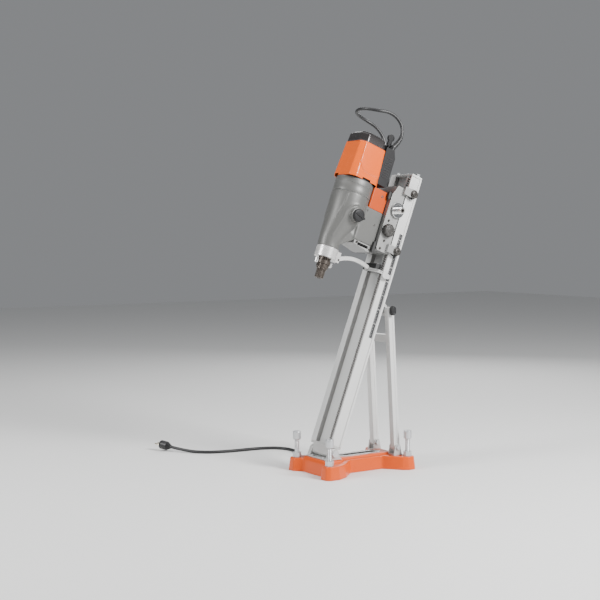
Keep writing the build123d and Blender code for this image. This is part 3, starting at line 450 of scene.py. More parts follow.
CORD_RADIUS = 0.0055
cord_rubber = finish_of("cord rubber", (0.018, 0.018, 0.019), 0.0, 0.42, grain=420, depth=0.10,
                        mottle=0.25, rough_spread=0.12)
upper_route = [on_mast(*point) for point in (
    (0.024, -0.108, 1.048), (0.028, -0.094, 1.073), (0.029, -0.091, 1.103), (0.025, -0.101, 1.132),
    (0.014, -0.122, 1.153), (0.002, -0.152, 1.161), (-0.007, -0.189, 1.151),
    (-0.033, -0.215, 1.149), (-0.069, -0.224, 1.148), (-0.104, -0.213, 1.146),
    (-0.132, -0.182, 1.148), (-0.137, -0.138, 1.147), (-0.120, -0.098, 1.137),
    (-0.105, -0.066, 1.107), (-0.098, -0.044, 1.066), (-0.096, -0.024, 1.020),
    (-0.097, -0.003, 0.973), (-0.098, 0.022, 0.906), (-0.099, 0.029, 0.850), (-0.095, 0.033, 0.800),
    (-0.079, 0.034, 0.748), (-0.054, 0.031, 0.712), (-0.0405, 0.0285, 0.676),
    (-0.0405, 0.0285, 0.640),
)]
upper_line = line_of(upper_route)
upper_cord = cord_along("supply_cord_loop", upper_line, CORD_RADIUS)
upper_cord.data.materials.append(cord_rubber)
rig.blend(upper_cord, "carriage", "mast", start=upper_route[16], end=upper_route[21])
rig.replaces(upper_cord, "upper_cord")
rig.slot(upper_cord, "black_rubber")

sleeve_length, sleeve_ribs, sleeve_end = 0.050, 9, 0.004
pitch = (sleeve_length - 2 * sleeve_end) / sleeve_ribs
stations = [(0.0, 0.0095)]
for rib in range(sleeve_ribs):
    start = sleeve_end + rib * pitch
    body = 0.0092 - 0.0026 * rib / sleeve_ribs
    stations += [(start, body), (start + pitch * 0.55, body), (start + pitch * 0.62, body - 0.0011),
                 (start + pitch * 0.92, body - 0.0011)]
stations += [(sleeve_length - 0.003, 0.0068), (sleeve_length, 0.0060)]
cord_sleeve = skin_along("cord_sleeve", upper_line, stations)
fitted(cord_sleeve, "carriage", cord_rubber, "black_rubber")
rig.cord(upper_cord, exit=upper_route[0], length=0.97, diameter=2 * CORD_RADIUS, far_end="object",
        stiffness="medium", lay="hanging", path=upper_line, with_pieces=[cord_sleeve])

lower_route = [on_mast(*point) for point in (
    (-0.0405, 0.0285, 0.090), (-0.0405, 0.0285, 0.066),
)]
lower_route += [Vector(point) for point in (
    (-0.044, 0.044, 0.100), (-0.058, 0.040, 0.070), (-0.084, 0.048, 0.044), (-0.118, 0.060, 0.020),
    (-0.160, 0.070, 0.0056), (-0.212, 0.070, 0.0056), (-0.270, 0.082, 0.0056),
    (-0.330, 0.112, 0.0056), (-0.396, 0.128, 0.0056), (-0.452, 0.100, 0.0056),
    (-0.478, 0.040, 0.0056), (-0.484, -0.034, 0.0056), (-0.494, -0.110, 0.0056),
    (-0.520, -0.170, 0.0056), (-0.572, -0.216, 0.0076), (-0.626, -0.250, 0.0175),
)]
lower_line = line_of(lower_route)
lower_cord = cord_along("supply_cord_tail", lower_line, CORD_RADIUS)
lower_cord.data.materials.append(cord_rubber)
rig.blend(lower_cord, "mast", "base", start=lower_route[0], end=lower_route[5])
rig.replaces(lower_cord, "lower_cord")
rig.slot(lower_cord, "black_rubber")

# The plug: a moulded body with a ribbed grip, a flat face and two round pins.
plug_axis = (lower_route[-1] - lower_route[-2]).normalized()
plug_profile = [(-0.002, 0.0062), (0.000, 0.0078)]
for rib in range(6):
    start = 0.001 + rib * 0.0022
    swell = 0.0080 + rib * 0.0012
    plug_profile += [(start, swell), (start + 0.0012, swell + 0.0004), (start + 0.0014, swell - 0.0009),
                     (start + 0.0021, swell - 0.0009)]
plug_profile += [(0.0145, 0.0156), (0.020, 0.0160), (0.034, 0.0160), (0.0415, 0.0157), (0.0438, 0.0140)]
mains_plug = turned("moulded_plug", lower_route[-1], plug_axis, plug_profile, count=56)
fitted(mains_plug, "base", cord_rubber, "black_rubber", "mains_plug")
pin_metal = finish_of("pin brass", (0.62, 0.55, 0.40), 1.0, 0.25, grain=900, depth=0.03)
plug_across = Vector((-plug_axis.y, plug_axis.x, 0)).normalized()
plug_pins = []
for side in (-1, 1):
    pin = turned(f"plug_pin_{'left' if side < 0 else 'right'}",
                 lower_route[-1] + plug_axis * 0.043 + plug_across * (0.0095 * side), plug_axis,
                 [(0, 0.0024), (0.0185, 0.0024), (0.0195, 0.0019), (0.0198, 0.0010)], count=24)
    plug_pins.append(fitted(pin, "base", pin_metal, "zinc_steel"))
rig.cord(lower_cord, exit=lower_route[0], length=0.92, diameter=2 * CORD_RADIUS, far_end="plug",
        stiffness="medium", lay="loose", path=lower_line, with_pieces=[mains_plug, *plug_pins])


# ---- Base casting ----
# A cast plate with a lobe at each corner, hollow below, sprayed in a glossy orange that has
# rubbed thin along its edges. A bright steel wear plate lies round the anchor slot.
WELD = 2e-6


def dressed(node, body, material, slot, edge=0.0008, segments=2, angle=32):
    """A piece in a CAD part's place, with the same faces and softly broken edges."""
    mesh = bpy.data.meshes.new(f"{node}_finished")
    bm = bmesh.new()
    bm.from_mesh(frame["nodes"][node].data)
    bmesh.ops.remove_doubles(bm, verts=bm.verts, dist=WELD)
    bmesh.ops.dissolve_limit(bm, angle_limit=math.radians(0.4), verts=bm.verts, edges=bm.edges)
    for face in bm.faces:
        face.smooth = True
        face.material_index = 0
    bm.to_mesh(mesh)
    bm.free()
    piece = new_piece(mesh.name, mesh)
    rounding = piece.modifiers.new("broken edges", "BEVEL")
    rounding.width = edge
    rounding.segments = segments
    rounding.limit_method = "ANGLE"
    rounding.angle_limit = math.radians(angle)
    rounding.harden_normals = True
    evened = piece.modifiers.new("even shading", "WEIGHTED_NORMAL")
    evened.keep_sharp = False
    return fitted(piece, body, material, slot, node)


def oblong(half, radius, count, offset=0.0):
    """Pairs round an oblong: the halves of a circle, pulled apart along the second axis."""
    for i in range(count):
        angle = 2 * math.pi * (i + offset) / count
        r = radius(angle) if callable(radius) else radius
        yield math.cos(angle) * r, (half if math.sin(angle) > 0 else -half) + math.sin(angle) * r


base_orange = finish_of("base orange paint", (0.66, 0.082, 0.004), 0.0, 0.30, grain=340, depth=0.12,
                        specular=0.35, mottle=0.09, coat=0.12, worn=((0.88, 0.24, 0.05), 0.0034, 0.8))
base_plate = dressed("base_plate", "base", base_orange, "orange_paint")


def cast_skin(piece, grain_size, rounds):
    """Melt a piece's faces into one even skin and relax it, so every edge gets a casting's radius."""
    piece.modifiers.clear()
    melt = piece.modifiers.new("cast skin", "REMESH")
    melt.mode = "VOXEL"
    melt.voxel_size = grain_size
    melt.use_smooth_shade = True
    relax = piece.modifiers.new("cast radii", "SMOOTH")
    relax.factor = 0.5
    relax.iterations = rounds


cast_skin(base_plate, 0.0022, 9)

bright_steel = finish_of("bright steel", (0.76, 0.76, 0.75), 0.75, 0.24, grain=600, depth=0.04, mottle=0.07)
pad_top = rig.box("base_plate")[1].z
slot_middle, slot_half, slot_side = 0.140, 0.064, 0.0112
plate_border = 0.015


def slot_rings(steps):
    """Rings round the anchor slot from (reach beyond its side, height over the pad) steps, with
    the first ring again at the end."""
    rings = [[Vector((x, slot_middle + y, pad_top + height))
              for x, y in oblong(slot_half, slot_side + reach, 72, 0.5)] for reach, height in steps]
    return rings + rings[:1]


wear_plate = skinned("anchor_slot_wear_plate", slot_rings((
    (0.0, 0.0), (0.0, 0.0009), (0.0004, 0.0013), (plate_border - 0.0006, 0.0013),
    (plate_border, 0.0007), (plate_border, 0.0))), 30, closed_ends=False)
fitted(wear_plate, "base", bright_steel, "bright_steel")
dark_steel = finish_of("oiled steel", (0.060, 0.056, 0.052), 0.6, 0.38, grain=500, depth=0.10,
                       mottle=0.22, worn=((0.26, 0.25, 0.24), 0.0009, 0.7))
slot_liner = skinned("anchor_slot_liner", slot_rings((
    (-0.0004, 0.0008), (-0.0004, -0.042), (-0.0018, -0.042), (-0.0018, 0.0002), (-0.0010, 0.0010))),
    30, closed_ends=False)
fitted(slot_liner, "base", dark_steel, "dark_steel")


# ---- Levelling screws ----
# Four zinc-plated jacking screws: a rolled thread on a 16 mm shank and a deep round head with a
# straight knurl and a hexagon socket. Each turns in a steel bush pressed into the casting.
zinc = finish_of("zinc plate", (0.56, 0.57, 0.58), 0.65, 0.30, grain=500, depth=0.06, mottle=0.10,
                 worn=((0.95, 0.95, 0.95), 0.0008, 0.5))
dressed("levelling_bushes", "base", zinc, "zinc_steel", edge=0.0009, segments=3)


def thread_radius(angle, along, crest, depth, pitch):
    """The radius of a rounded thread at an angle and a distance along its axis."""
    phase = (along / pitch + angle / (2 * math.pi)) % 1
    return crest - depth * (1 - abs(2 * phase - 1)) ** 1.2


def hexagon(flat_to_middle):
    """The radius of a hexagon as it depends on the angle."""
    return lambda angle: flat_to_middle / math.cos((angle % (math.pi / 3)) - math.pi / 6)


for corner in ("front_right", "front_left", "rear_right", "rear_left"):
    low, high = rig.box(f"levelling_screw_{corner}")
    middle = ((low[0] + high[0]) / 2, (low[1] + high[1]) / 2, low[2])
    tall = high[2] - low[2]
    head_low = tall - 0.028
    head = (high[0] - low[0]) / 2
    profile = [(0.0, 0.0055), (0.0008, 0.0066)]
    steps = 150
    for step in range(steps + 1):
        along = 0.002 + (head_low - 0.004) * step / steps
        profile.append((along, lambda a, z=along: thread_radius(a, z, 0.0080, 0.0010, 0.0022)))
    knurled = lambda a, r=head: r - 0.00035 * (math.cos(36 * a) > 0.2)
    profile += [(head_low - 0.0012, 0.0074), (head_low, 0.0074), (head_low, head - 0.0016),
                (head_low + 0.0014, head - 0.0002), (head_low + 0.0030, head),
                (head_low + 0.0032, knurled), (tall - 0.0062, knurled), (tall - 0.0060, head),
                (tall - 0.0022, head), (tall - 0.0008, head - 0.0006), (tall, head - 0.0020),
                (tall, hexagon(0.0068)), (tall - 0.0008, hexagon(0.0061)), (tall - 0.0115, hexagon(0.0061))]
    screw = turned(f"levelling_screw_{corner}_threaded", middle, (0, 0, 1), profile, count=72, sharp=40)
    fitted(screw, f"levelling_screw_{corner}", zinc, "zinc_steel", f"levelling_screw_{corner}")


# ---- Hinge of the mast ----
# Two cast cheeks bolted to the base's raised pad, and between them the eye of the mast's foot
# casting on a 16 mm steel pin. The castings are bare, tumbled aluminium.
cast_pale = finish_of("tumbled cast aluminium", (0.50, 0.50, 0.49), 0.35, 0.42, grain=700, depth=0.25,
                      mottle=0.10, worn=((0.88, 0.88, 0.87), 0.0014, 0.6))
dressed("mast_bracket", "base", cast_pale, "cast_aluminium", edge=0.0024, segments=4)
dressed("mast_foot", "mast", cast_pale, "cast_aluminium", edge=0.0018, segments=3)
dressed("bracket_bolts", "base", zinc, "zinc_steel", edge=0.0006)
dressed("hinge_pin", "base", zinc, "zinc_steel", edge=0.0010, segments=3)


# ---- Mast ----
# A pressed aluminium section, satin anodised, with a deep recess between its two front lands
# and a roller channel on each side. Thin lines of painted shade darken the recess's side and corner.
mast_silver = finish_of("anodised mast", (0.66, 0.66, 0.65), 0.25, 0.40, grain=300, depth=0.06,
                        mottle=0.05, drawn=((LEAN, 0, 0), (1, 1, 0.012)))
mast_painted_shade = mast_silver.copy()
mast_painted_shade.name = "anodised mast with grease"
tree = mast_painted_shade.node_tree
shader = tree.nodes["Principled BSDF"]
unshaded_colour = shader.inputs["Base Color"].links[0].from_socket
from_middle = shader_node(tree, "SeparateXYZ", {"Vector": shader_node(tree, "TexCoord").outputs["Object"]})
painted_shade = None
# Painted shade: three thin strips along the mast, picked out by their x, darken the colour at the recess's left wall,
# in its right corner and on the near land by the rack.
for middle, half in ((-0.0310, 0.0004), (0.0298, 0.0014), (0.0407, 0.0004)):
    line = shader_node(tree, "Math", {0: from_middle.outputs["X"], 1: middle, 2: half}, "COMPARE").outputs[0]
    painted_shade = shader_node(tree, "Math", {0: painted_shade, 1: line}, "MAXIMUM").outputs[0] if painted_shade else line
film = shader_node(tree, "Math", {0: painted_shade, 1: 0.72}, "MULTIPLY").outputs[0]
shaded_colour = shader_node(tree, "Mix", {"Factor": film, "A": unshaded_colour, "B": (0.16, 0.155, 0.15, 1)})
feed(tree, shader, {"Base Color": shaded_colour.outputs["Result"]})
dressed("mast_extrusion", "mast", mast_painted_shade, "mast_aluminium", edge=0.0007)


# ---- Feed rack ----
# A cut steel rack screwed into a slot of the near front land, dark from its oil.
def coated(node, material):
    """Give a CAD part that shows as it is its finish."""
    frame["nodes"][node].data.materials.clear()
    frame["nodes"][node].data.materials.append(material)


rack_steel = finish_of("rack steel", (0.30, 0.29, 0.28), 0.7, 0.40, grain=600, depth=0.06, mottle=0.15)
coated("gear_rack", rack_steel)


# ---- Depth scale ----
# A black film in the near channel with a printed tick every 5 mm, a longer one every 10 mm and
# a block at every 50 mm.
scale_film = finish_of("scale film", (0.030, 0.030, 0.032), 0.0, 0.40, grain=900, depth=0.03)
dressed("scale_strip", "mast", scale_film, "scale_black", edge=0.0001)
BOX_FACES = ((3, 2, 1, 0), (4, 5, 6, 7), (0, 1, 5, 4), (1, 2, 6, 5), (2, 3, 7, 6), (3, 0, 4, 7))
scale_low, scale_high, scale_face = 0.405, 0.775, 0.0565
tick_step, tick_from = 0.005, 0.0002
tick_points, tick_faces = [], []
count = int((scale_high - scale_low) / tick_step)
for tick in range(1, count):
    up = scale_low + tick * tick_step
    tick_to, thick = 0.0038, 0.0005
    if tick % 10 == 0:
        tick_to, thick = 0.0128, 0.0012
    elif tick % 2 == 0:
        tick_to, thick = 0.0062, 0.0007
    start = len(tick_points)
    for out in (0.0, 0.00012):
        tick_points += [on_mast(scale_face + out, back, up + rise) for back, rise in (
            (tick_from, -thick / 2), (tick_to, -thick / 2), (tick_to, thick / 2), (tick_from, thick / 2))]
    tick_faces += [tuple(start + i for i in face) for face in BOX_FACES]
print_white = finish_of("scale print", (0.72, 0.72, 0.70), 0.0, 0.5, grain=900, depth=0.02)
scale_ticks = new_piece("scale_ticks", smooth(mesh_of("scale_ticks", tick_points, tick_faces), 30))
fitted(scale_ticks, "mast", print_white, "scale_black")


# ---- Mast end plate ----
# A sawn aluminium plate closes the mast's top. Three hexagon screws with washers hold it.
dressed("mast_cap", "mast", mast_silver, "mast_aluminium", edge=0.0016, segments=3)
dressed("cap_bolts", "mast", zinc, "zinc_steel", edge=0.0009, segments=3)


# ---- Cord clips ----
# Three moulded clips hold the cord along the mast's back, each on one screw.
black_plastic = finish_of("black moulded plastic", (0.020, 0.020, 0.021), 0.0, 0.46, grain=900, depth=0.18,
                          mottle=0.20, specular=0.22, worn=((0.085, 0.085, 0.085), 0.0014, 0.7))
dressed("cord_clips", "mast", black_plastic, "black_plastic", edge=0.0008)
coated("mast_cord", cord_rubber)


# ---- Braces ----
# Two grooved aluminium tubes with round ends, joined by a cross bar, stand between forked
# brackets on the base and the clamp block on the mast's back.
dressed("brace_frame", "braces", mast_silver, "mast_aluminium", edge=0.0010, segments=3)
dressed("brace_brackets", "base", cast_pale, "cast_aluminium", edge=0.0012, segments=3)
dressed("brace_pins", "base", zinc, "zinc_steel", edge=0.0009, segments=3)
dressed("brace_bolt", "braces", zinc, "zinc_steel", edge=0.0009)
dressed("brace_clamp", "clamp", cast_pale, "cast_aluminium", edge=0.0018, segments=3)


# ---- Brace knob ----
# An oval moulded wing knob on the brace bolt, ribbed round its edge for the fingers.
knob_low, knob_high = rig.box("brace_knob")
knob_middle = Vector((knob_low[0], (knob_low[1] + knob_high[1]) / 2, (knob_low[2] + knob_high[2]) / 2))
knob_thick = knob_high[0] - knob_low[0]
knob_radius, knob_pull = 0.0095, 0.0065
knob_rings = []
for along, size, ribs_deep in (
        (0.0, 0.94, 0.0), (0.001, 1.0, 0.0), (0.002, 1.0, 0.0007), (knob_thick - 0.004, 1.0, 0.0007),
        (knob_thick - 0.003, 0.98, 0.0003), (knob_thick - 0.001, 0.90, 0.0), (knob_thick, 0.78, 0.0),
        (knob_thick - 0.0015, 0.62, 0.0), (knob_thick - 0.0015, 0.30, 0.0),
        (knob_thick - 0.0003, 0.20, 0.0)):
    ribbed = lambda a: knob_radius * size - ribs_deep * (math.cos(22 * a) > 0.3)
    knob_rings.append([knob_middle + Vector((along, y, z)) for y, z in oblong(knob_pull * size, ribbed, 96)])
brace_knob = skinned("brace_wing_knob", knob_rings, 35)
fitted(brace_knob, "brace_knob", black_plastic, "black_plastic", "brace_knob")


# ---- Carriage casting ----
# A gravity die casting, hollow towards the mast, shot blasted and left bare. Its near side
# carries the boss of the feed shaft, and small fixing screws.
carriage_silver = finish_of("blasted carriage casting", (0.30, 0.30, 0.295), 0.30, 0.42, grain=800,
                            depth=0.20, mottle=0.09, worn=((0.60, 0.60, 0.59), 0.0018, 0.7))
dressed("carriage_body", "carriage", carriage_silver, "cast_aluminium", edge=0.0028, segments=4, angle=28)
CARRIAGE_SIDE = 0.060
FEED_UP = 0.842
FEED_BACK = -0.0435
chrome = finish_of("polished steel", (0.86, 0.86, 0.86), 1.0, 0.12, grain=700, depth=0.02, mottle=0.04)
boss_ring = turned("feed_boss_ring", on_mast(CARRIAGE_SIDE + 0.006, FEED_BACK, FEED_UP), (1, 0, 0),
                   [(0.0, 0.0150), (0.0, 0.0250), (0.0006, 0.0256), (0.0020, 0.0256), (0.0028, 0.0248),
                    (0.0028, 0.0200), (0.0024, 0.0196), (0.0024, 0.0150)], count=72)
fitted(boss_ring, "carriage", chrome, "bright_steel")


# ---- Guide rollers ----
# Four nylon rollers run in the mast's side channels, two a side, on short steel axles whose
# dark round heads stand outside the carriage's ears.
dressed("roller_axles", "carriage", dark_steel, "dark_steel", edge=0.0012, segments=3)
for place in ("upper_right", "upper_left", "lower_right", "lower_left"):
    dressed(f"guide_roller_{place}", f"guide_roller_{place}", black_plastic, "black_plastic", edge=0.0006)
axle_end, axle_back = 0.0772, -0.0061
for where, up in (("lower", 0.710), ("upper", 0.917)):
    for side, hand in ((-1, "left"), (1, "right")):
        socket = turned(f"axle_nut_{where}_{hand}", on_mast(side * axle_end, axle_back, up), (side, 0, 0),
                        [(0.0, 0.0105), (0.0008, 0.0110), (0.0008, hexagon(0.0080)),
                         (0.0040, hexagon(0.0080)), (0.0048, 0.0070), (0.0048, 0.0030),
                         (0.0030, 0.0030)], count=48)
        fitted(socket, "carriage", dark_steel, "dark_steel")


# ---- Feed shaft ----
# A hardened shaft in bronze bushes turns the feed pinion. Its near end is a bright stub with a
# dark hexagon socket for the crank.
bronze = finish_of("bush bronze", (0.42, 0.33, 0.20), 0.9, 0.36, grain=500, depth=0.05)
dressed("shaft_bushes", "carriage", bronze, "bronze", edge=0.0005)
dressed("feed_shaft", "feed", bright_steel, "bright_steel", edge=0.0009, segments=3)
dressed("feed_pinion", "feed", dark_steel, "dark_steel", edge=0.0002)
stub_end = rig.box("feed_shaft")[1][0]
stub_insert = turned("crank_socket", on_mast(stub_end - 0.0178, FEED_BACK, FEED_UP), (1, 0, 0),
                     [(0.0, 0.0030), (0.0, hexagon(0.0054)), (0.0176, hexagon(0.0054)),
                      (0.0182, 0.0085), (0.0180, 0.0088), (0.0182, 0.0040), (0.0100, 0.0036),
                      (0.0100, 0.0020)], count=48)
fitted(stub_insert, "feed", dark_steel, "dark_steel")


# ---- Carriage lock ----
# A moulded hand knob with finger flutes clamps the carriage through a short screw. A small cap
# of the same plastic sits in its face.
LOCK_UP, LOCK_BACK = 0.765, -0.058
lock_start = CARRIAGE_SIDE + 0.0003


def fluted(angle, radius, depth, flutes):
    """The radius of a knob with rounded finger flutes."""
    return radius - depth * max(0.0, math.cos(flutes * angle)) ** 2


lock_profile = [(0.0, 0.0150), (0.0, 0.0190), (0.0012, 0.0205)]
lock_profile += [(along, lambda a, r=radius: fluted(a, r, 0.0022, 10)) for along, radius in (
    (0.0022, 0.0222), (0.0040, 0.0225), (0.0125, 0.0222), (0.0150, 0.0212), (0.0168, 0.0190))]
lock_profile += [(0.0178, 0.0150), (0.0180, 0.0120), (0.0168, 0.0112), (0.0165, 0.0040)]
lock_grey = finish_of("grey moulded knob", (0.050, 0.048, 0.046), 0.0, 0.42, grain=800, depth=0.15,
                      mottle=0.20, specular=0.25, worn=((0.25, 0.25, 0.24), 0.0012, 0.7))
lock_knob = turned("lock_hand_knob", on_mast(lock_start, LOCK_BACK, LOCK_UP), (1, 0, 0), lock_profile,
                   count=120)
fitted(lock_knob, "lock_knob", lock_grey, "black_plastic", "lock_knob")
lock_tip = turned("lock_knob_cap", on_mast(lock_start + 0.0160, LOCK_BACK, LOCK_UP), (1, 0, 0),
                  [(0.0, 0.0100), (0.0012, 0.0100), (0.0018, 0.0092), (0.0020, 0.0040)], count=64)
fitted(lock_tip, "lock_knob", lock_grey, "black_plastic")


# ---- Gearbox casting ----
# A painted magnesium casting, round above and drawn in to the neck below, with a square
# mounting block at its back. Raised ribs sweep round the speed selector on both sides.
def rib_skin(points, radius, count=10):
    """Points and faces of a round skin along a line of points."""
    last = len(points) - 1
    return ring_skin(swept_rings([
        (place, (points[min(i + 1, last)] - points[max(i - 1, 0)]).normalized(), radius)
        for i, place in enumerate(points)], count))


MOTOR_BACK = -0.200
KNOB_BACK, KNOB_UP = -0.197, 0.766
gear_grey = finish_of("gearbox silver paint", (0.118, 0.118, 0.113), 0.20, 0.42, grain=1100, depth=0.12,
                      mottle=0.07, worn=((0.24, 0.24, 0.235), 0.0022, 0.6))
housing = bmesh.new()
housing.from_mesh(frame["nodes"]["gearbox_housing"].data)
bmesh.ops.remove_doubles(housing, verts=housing.verts, dist=WELD)
solid = BVHTree.FromBMesh(housing)
rib_lines = []
SIDES = ((1, "right"), (-1, "left"))
arch_radius, rib_radius, rib_sunk = 0.036, 0.0024, 0.0004
arch = [(KNOB_BACK + arch_radius * math.cos(math.radians(a)),
         KNOB_UP + arch_radius * math.sin(math.radians(a))) for a in range(20, 176, 6)]
sweep = [(-0.233, 0.766), (-0.2345, 0.750), (-0.237, 0.732), (-0.240, 0.714), (-0.243, 0.696),
         (-0.246, 0.678)]
front_rib = [(-0.2435, 0.828), (-0.2445, 0.806), (-0.2460, 0.784), (-0.2490, 0.762), (-0.2520, 0.740)]
for line in (arch + sweep, front_rib):
    for side in (-1, 1):
        landed = []
        for back, up in line:
            hit = solid.ray_cast(on_mast(side * 0.12, back, up), Vector((-side, 0, 0)))[0]
            if hit is not None:
                landed.append(hit - Vector((side * rib_sunk, 0, 0)))
        if len(landed) > 3:
            rib_lines.append(landed)
for line in rib_lines:
    points, faces = rib_skin(line, rib_radius)
    verts = [housing.verts.new(p) for p in points]
    for face in faces:
        housing.faces.new([verts[i] for i in face])
web_half, web_nose = 0.0462, 0.030
web_outline = [(-0.2350, 0.6460), (-0.1960, 0.6640), (-0.1600, 0.6975), (-0.1200, 0.6975),
               (-0.1200, 0.8100), (-0.1900, 0.8250), (-0.2150, 0.7300)]
verts = [housing.verts.new(on_mast(side * (web_half if 1 < i < 6 else web_nose), back, up))
         for side in (-1, 1) for i, (back, up) in enumerate(web_outline)]
count = len(web_outline)
housing.faces.new(verts[:count][::-1])
housing.faces.new(verts[count:])
for i in range(count):
    j = (i + 1) % count
    housing.faces.new((verts[i], verts[j], verts[j + count], verts[i + count]))
bmesh.ops.recalc_face_normals(housing, faces=housing.faces)
for face in housing.faces:
    face.smooth = True
    face.material_index = 0
housing_mesh = bpy.data.meshes.new("gearbox_casting")
housing.to_mesh(housing_mesh)
housing.free()
gearbox = new_piece("gearbox_casting", housing_mesh)
cast_skin(gearbox, 0.0019, 6)
fitted(gearbox, "carriage", gear_grey, "silver_metallic", "gearbox_housing")
for number, (back, up) in enumerate(((-0.1060, 0.7660), (-0.1500, 0.8030))):
    for side, hand in SIDES:
        hole = turned(f"block_screw_{number + 1}_{hand}", on_mast(side * 0.0468, back, up), (side, 0, 0),
                      [(0.0, 0.0036), (0.0005, 0.0036), (0.0007, 0.0032),
                       (0.0006, hexagon(0.0020)), (0.0002, hexagon(0.0020))],
                      count=36)
        fitted(hole, "carriage", dark_steel, "dark_steel")


# ---- Gearbox cover ----
# The ring above the gearbox: the same painted casting, with a seam groove at its foot, a second
# groove half way up and a turned step at its top where the motor's shell sits.
cover_low, box_radius = 0.836, 0.0645
cover_profile = [(along, box_radius - less) for along, less in (
    (0.0, 0.004), (0.0, 0.0012), (0.0010, 0.0014), (0.0016, 0.0002), (0.0026, 0.0), (0.0300, 0.0),
    (0.0306, 0.0007), (0.0318, 0.0007), (0.0324, 0.0), (0.0470, 0.0002), (0.0495, 0.0012),
    (0.0512, 0.0032), (0.0518, 0.0060))] + [(0.0518, 0.0300)]
gearbox_cover = turned("gearbox_ring", on_mast(0, MOTOR_BACK, cover_low), UP_MAST, cover_profile,
                       count=128, sharp=50)
fitted(gearbox_cover, "carriage", gear_grey, "silver_metallic", "gearbox_cover")


# ---- Motor shell ----
# A glossy moulded shell, eight sided and a little narrower at its top. A raised panel with a
# large round lower corner lies on each side, and air slots are cut into its lower edge.
def eight_sided(half, leg, radius, count):
    """A square outline with cut and rounded corners, as evenly spaced (x, back) pairs."""
    flat = half - leg
    corners = [(half, -flat), (half, flat), (flat, half), (-flat, half),
               (-half, flat), (-half, -flat), (-flat, -half), (flat, -half)]
    line = []
    for i, corner in enumerate(corners):
        here = Vector(corner)
        before = (Vector(corners[i - 1]) - here).normalized()
        after = (Vector(corners[(i + 1) % 8]) - here).normalized()
        reach = radius * math.tan(math.pi / 8)
        for step in range(7):
            t = step / 6
            line.append(here + before * reach * (1 - t) ** 2 + after * reach * t ** 2)
    line.append(line[0])
    travel = [0.0]
    for a, b in zip(line, line[1:]):
        travel.append(travel[-1] + (b - a).length)
    outline, leg_index = [], 0
    for i in range(count):
        distance = travel[-1] * i / count
        while travel[leg_index + 1] < distance:
            leg_index += 1
        share = (distance - travel[leg_index]) / (travel[leg_index + 1] - travel[leg_index])
        outline.append(line[leg_index].lerp(line[leg_index + 1], share))
    return outline


shell_orange = finish_of("shell orange", (0.76, 0.112, 0.005), 0.0, 0.26, grain=500, depth=0.04,
                         mottle=0.05, rough_spread=0.06, coat=0.25, specular=0.4,
                         worn=((0.95, 0.42, 0.16), 0.0016, 0.5))
shell_low, shell_high = 0.888, 1.012
shell_count, shell_rows = 288, 62
panel_low, panel_edge, panel_round = 0.912, -0.0445, 0.040
AIR_SLOTS = ((0, 16), (345, 360), (164, 196), (230, 252))   # degrees round from the near side
rows = []
for row in range(shell_rows + 1):
    up = shell_low + (shell_high - shell_low) * row / shell_rows
    inward = (up - shell_low) * math.tan(math.radians(3.2))
    ring = []
    for point in eight_sided(0.061 - inward, 0.018 - 0.586 * inward, 0.009, shell_count):
        right, above = point.y - panel_edge - inward * 0.5, up - panel_low
        if right < panel_round and above < panel_round:
            inside = panel_round - math.hypot(panel_round - right, panel_round - above)
        else:
            inside = min(right, above)
        inside = min(inside, 0.046 - point.y)
        step = min(1.0, max(0.0, inside / 0.0032))
        lift = 0.0028 * step * step * (3 - 2 * step) if abs(point.x) > 0.02 else 0.0
        lift += 0.0010 * max(0.0, 1 - abs(up - shell_low - 0.0085) / 0.0020)
        outward = point.normalized()
        ring.append(on_mast(point.x + outward.x * lift, MOTOR_BACK + point.y + outward.y * lift, up))
    rows.append(ring)
points = [p for ring in rows for p in ring]
faces = []
for row in range(shell_rows):
    for i in range(shell_count):
        at = points[row * shell_count + i]
        middle = at - on_mast(0, MOTOR_BACK, shell_low)
        turn = math.degrees(math.atan2(middle.dot(BACK_MAST), middle.x))
        slotted = row < 3 and any(low < turn % 360 < high for low, high in AIR_SLOTS)
        if not slotted:
            a, b = row * shell_count + i, row * shell_count + (i + 1) % shell_count
            faces.append((a, b, b + shell_count, a + shell_count))
motor_shell = new_piece("motor_shell_moulding", smooth(mesh_of("motor_shell_moulding", points, faces), 50))
wall = motor_shell.modifiers.new("wall", "SOLIDIFY")
wall.thickness = 0.0026
wall.offset = -1
fitted(motor_shell, "carriage", shell_orange, "orange_shell", "motor_shell")
# Painted shadow: a black ring inside the shell's foot, behind the air slots, stands for the shade inside the motor.
painted_shadow_ring = turned("shell_shadow_ring", on_mast(0, MOTOR_BACK, shell_low - 0.0004), UP_MAST,
                     [(0.0, 0.040), (0.0, 0.0560), (0.0060, 0.0560), (0.0060, 0.040)], count=96)
fitted(painted_shadow_ring, "carriage", black_plastic, "black_plastic")


# ---- Motor cap ----
# The motor's upper bearing cap, die cast, with a wide bevel and a dark metallic lacquer.
cap_grey = finish_of("dark metallic lacquer", (0.045, 0.040, 0.040), 0.60, 0.28, grain=1200, depth=0.06,
                     mottle=0.10, coat=0.3, worn=((0.26, 0.25, 0.25), 0.0024, 0.7))
cap_rings = []
for up, half, leg in ((1.0122, 0.0500, 0.018), (1.0122, 0.0545, 0.019), (1.0130, 0.0552, 0.0195),
                      (1.0150, 0.0552, 0.0195), (1.0158, 0.0545, 0.0192), (1.0400, 0.0530, 0.0190),
                      (1.0412, 0.0524, 0.0190), (1.0482, 0.0450, 0.0180), (1.0494, 0.0436, 0.0175),
                      (1.0500, 0.0415, 0.0170), (1.0500, 0.0320, 0.0130), (1.0490, 0.0310, 0.0125),
                      (1.0490, 0.0080, 0.0035)):
    cap_rings.append([on_mast(p.x, MOTOR_BACK + p.y, up) for p in eight_sided(half, leg, 0.008, 144)])
motor_cap = skinned("motor_bearing_cap", cap_rings, 24)
fitted(motor_cap, "carriage", cap_grey, "silver_metallic", "motor_cap")
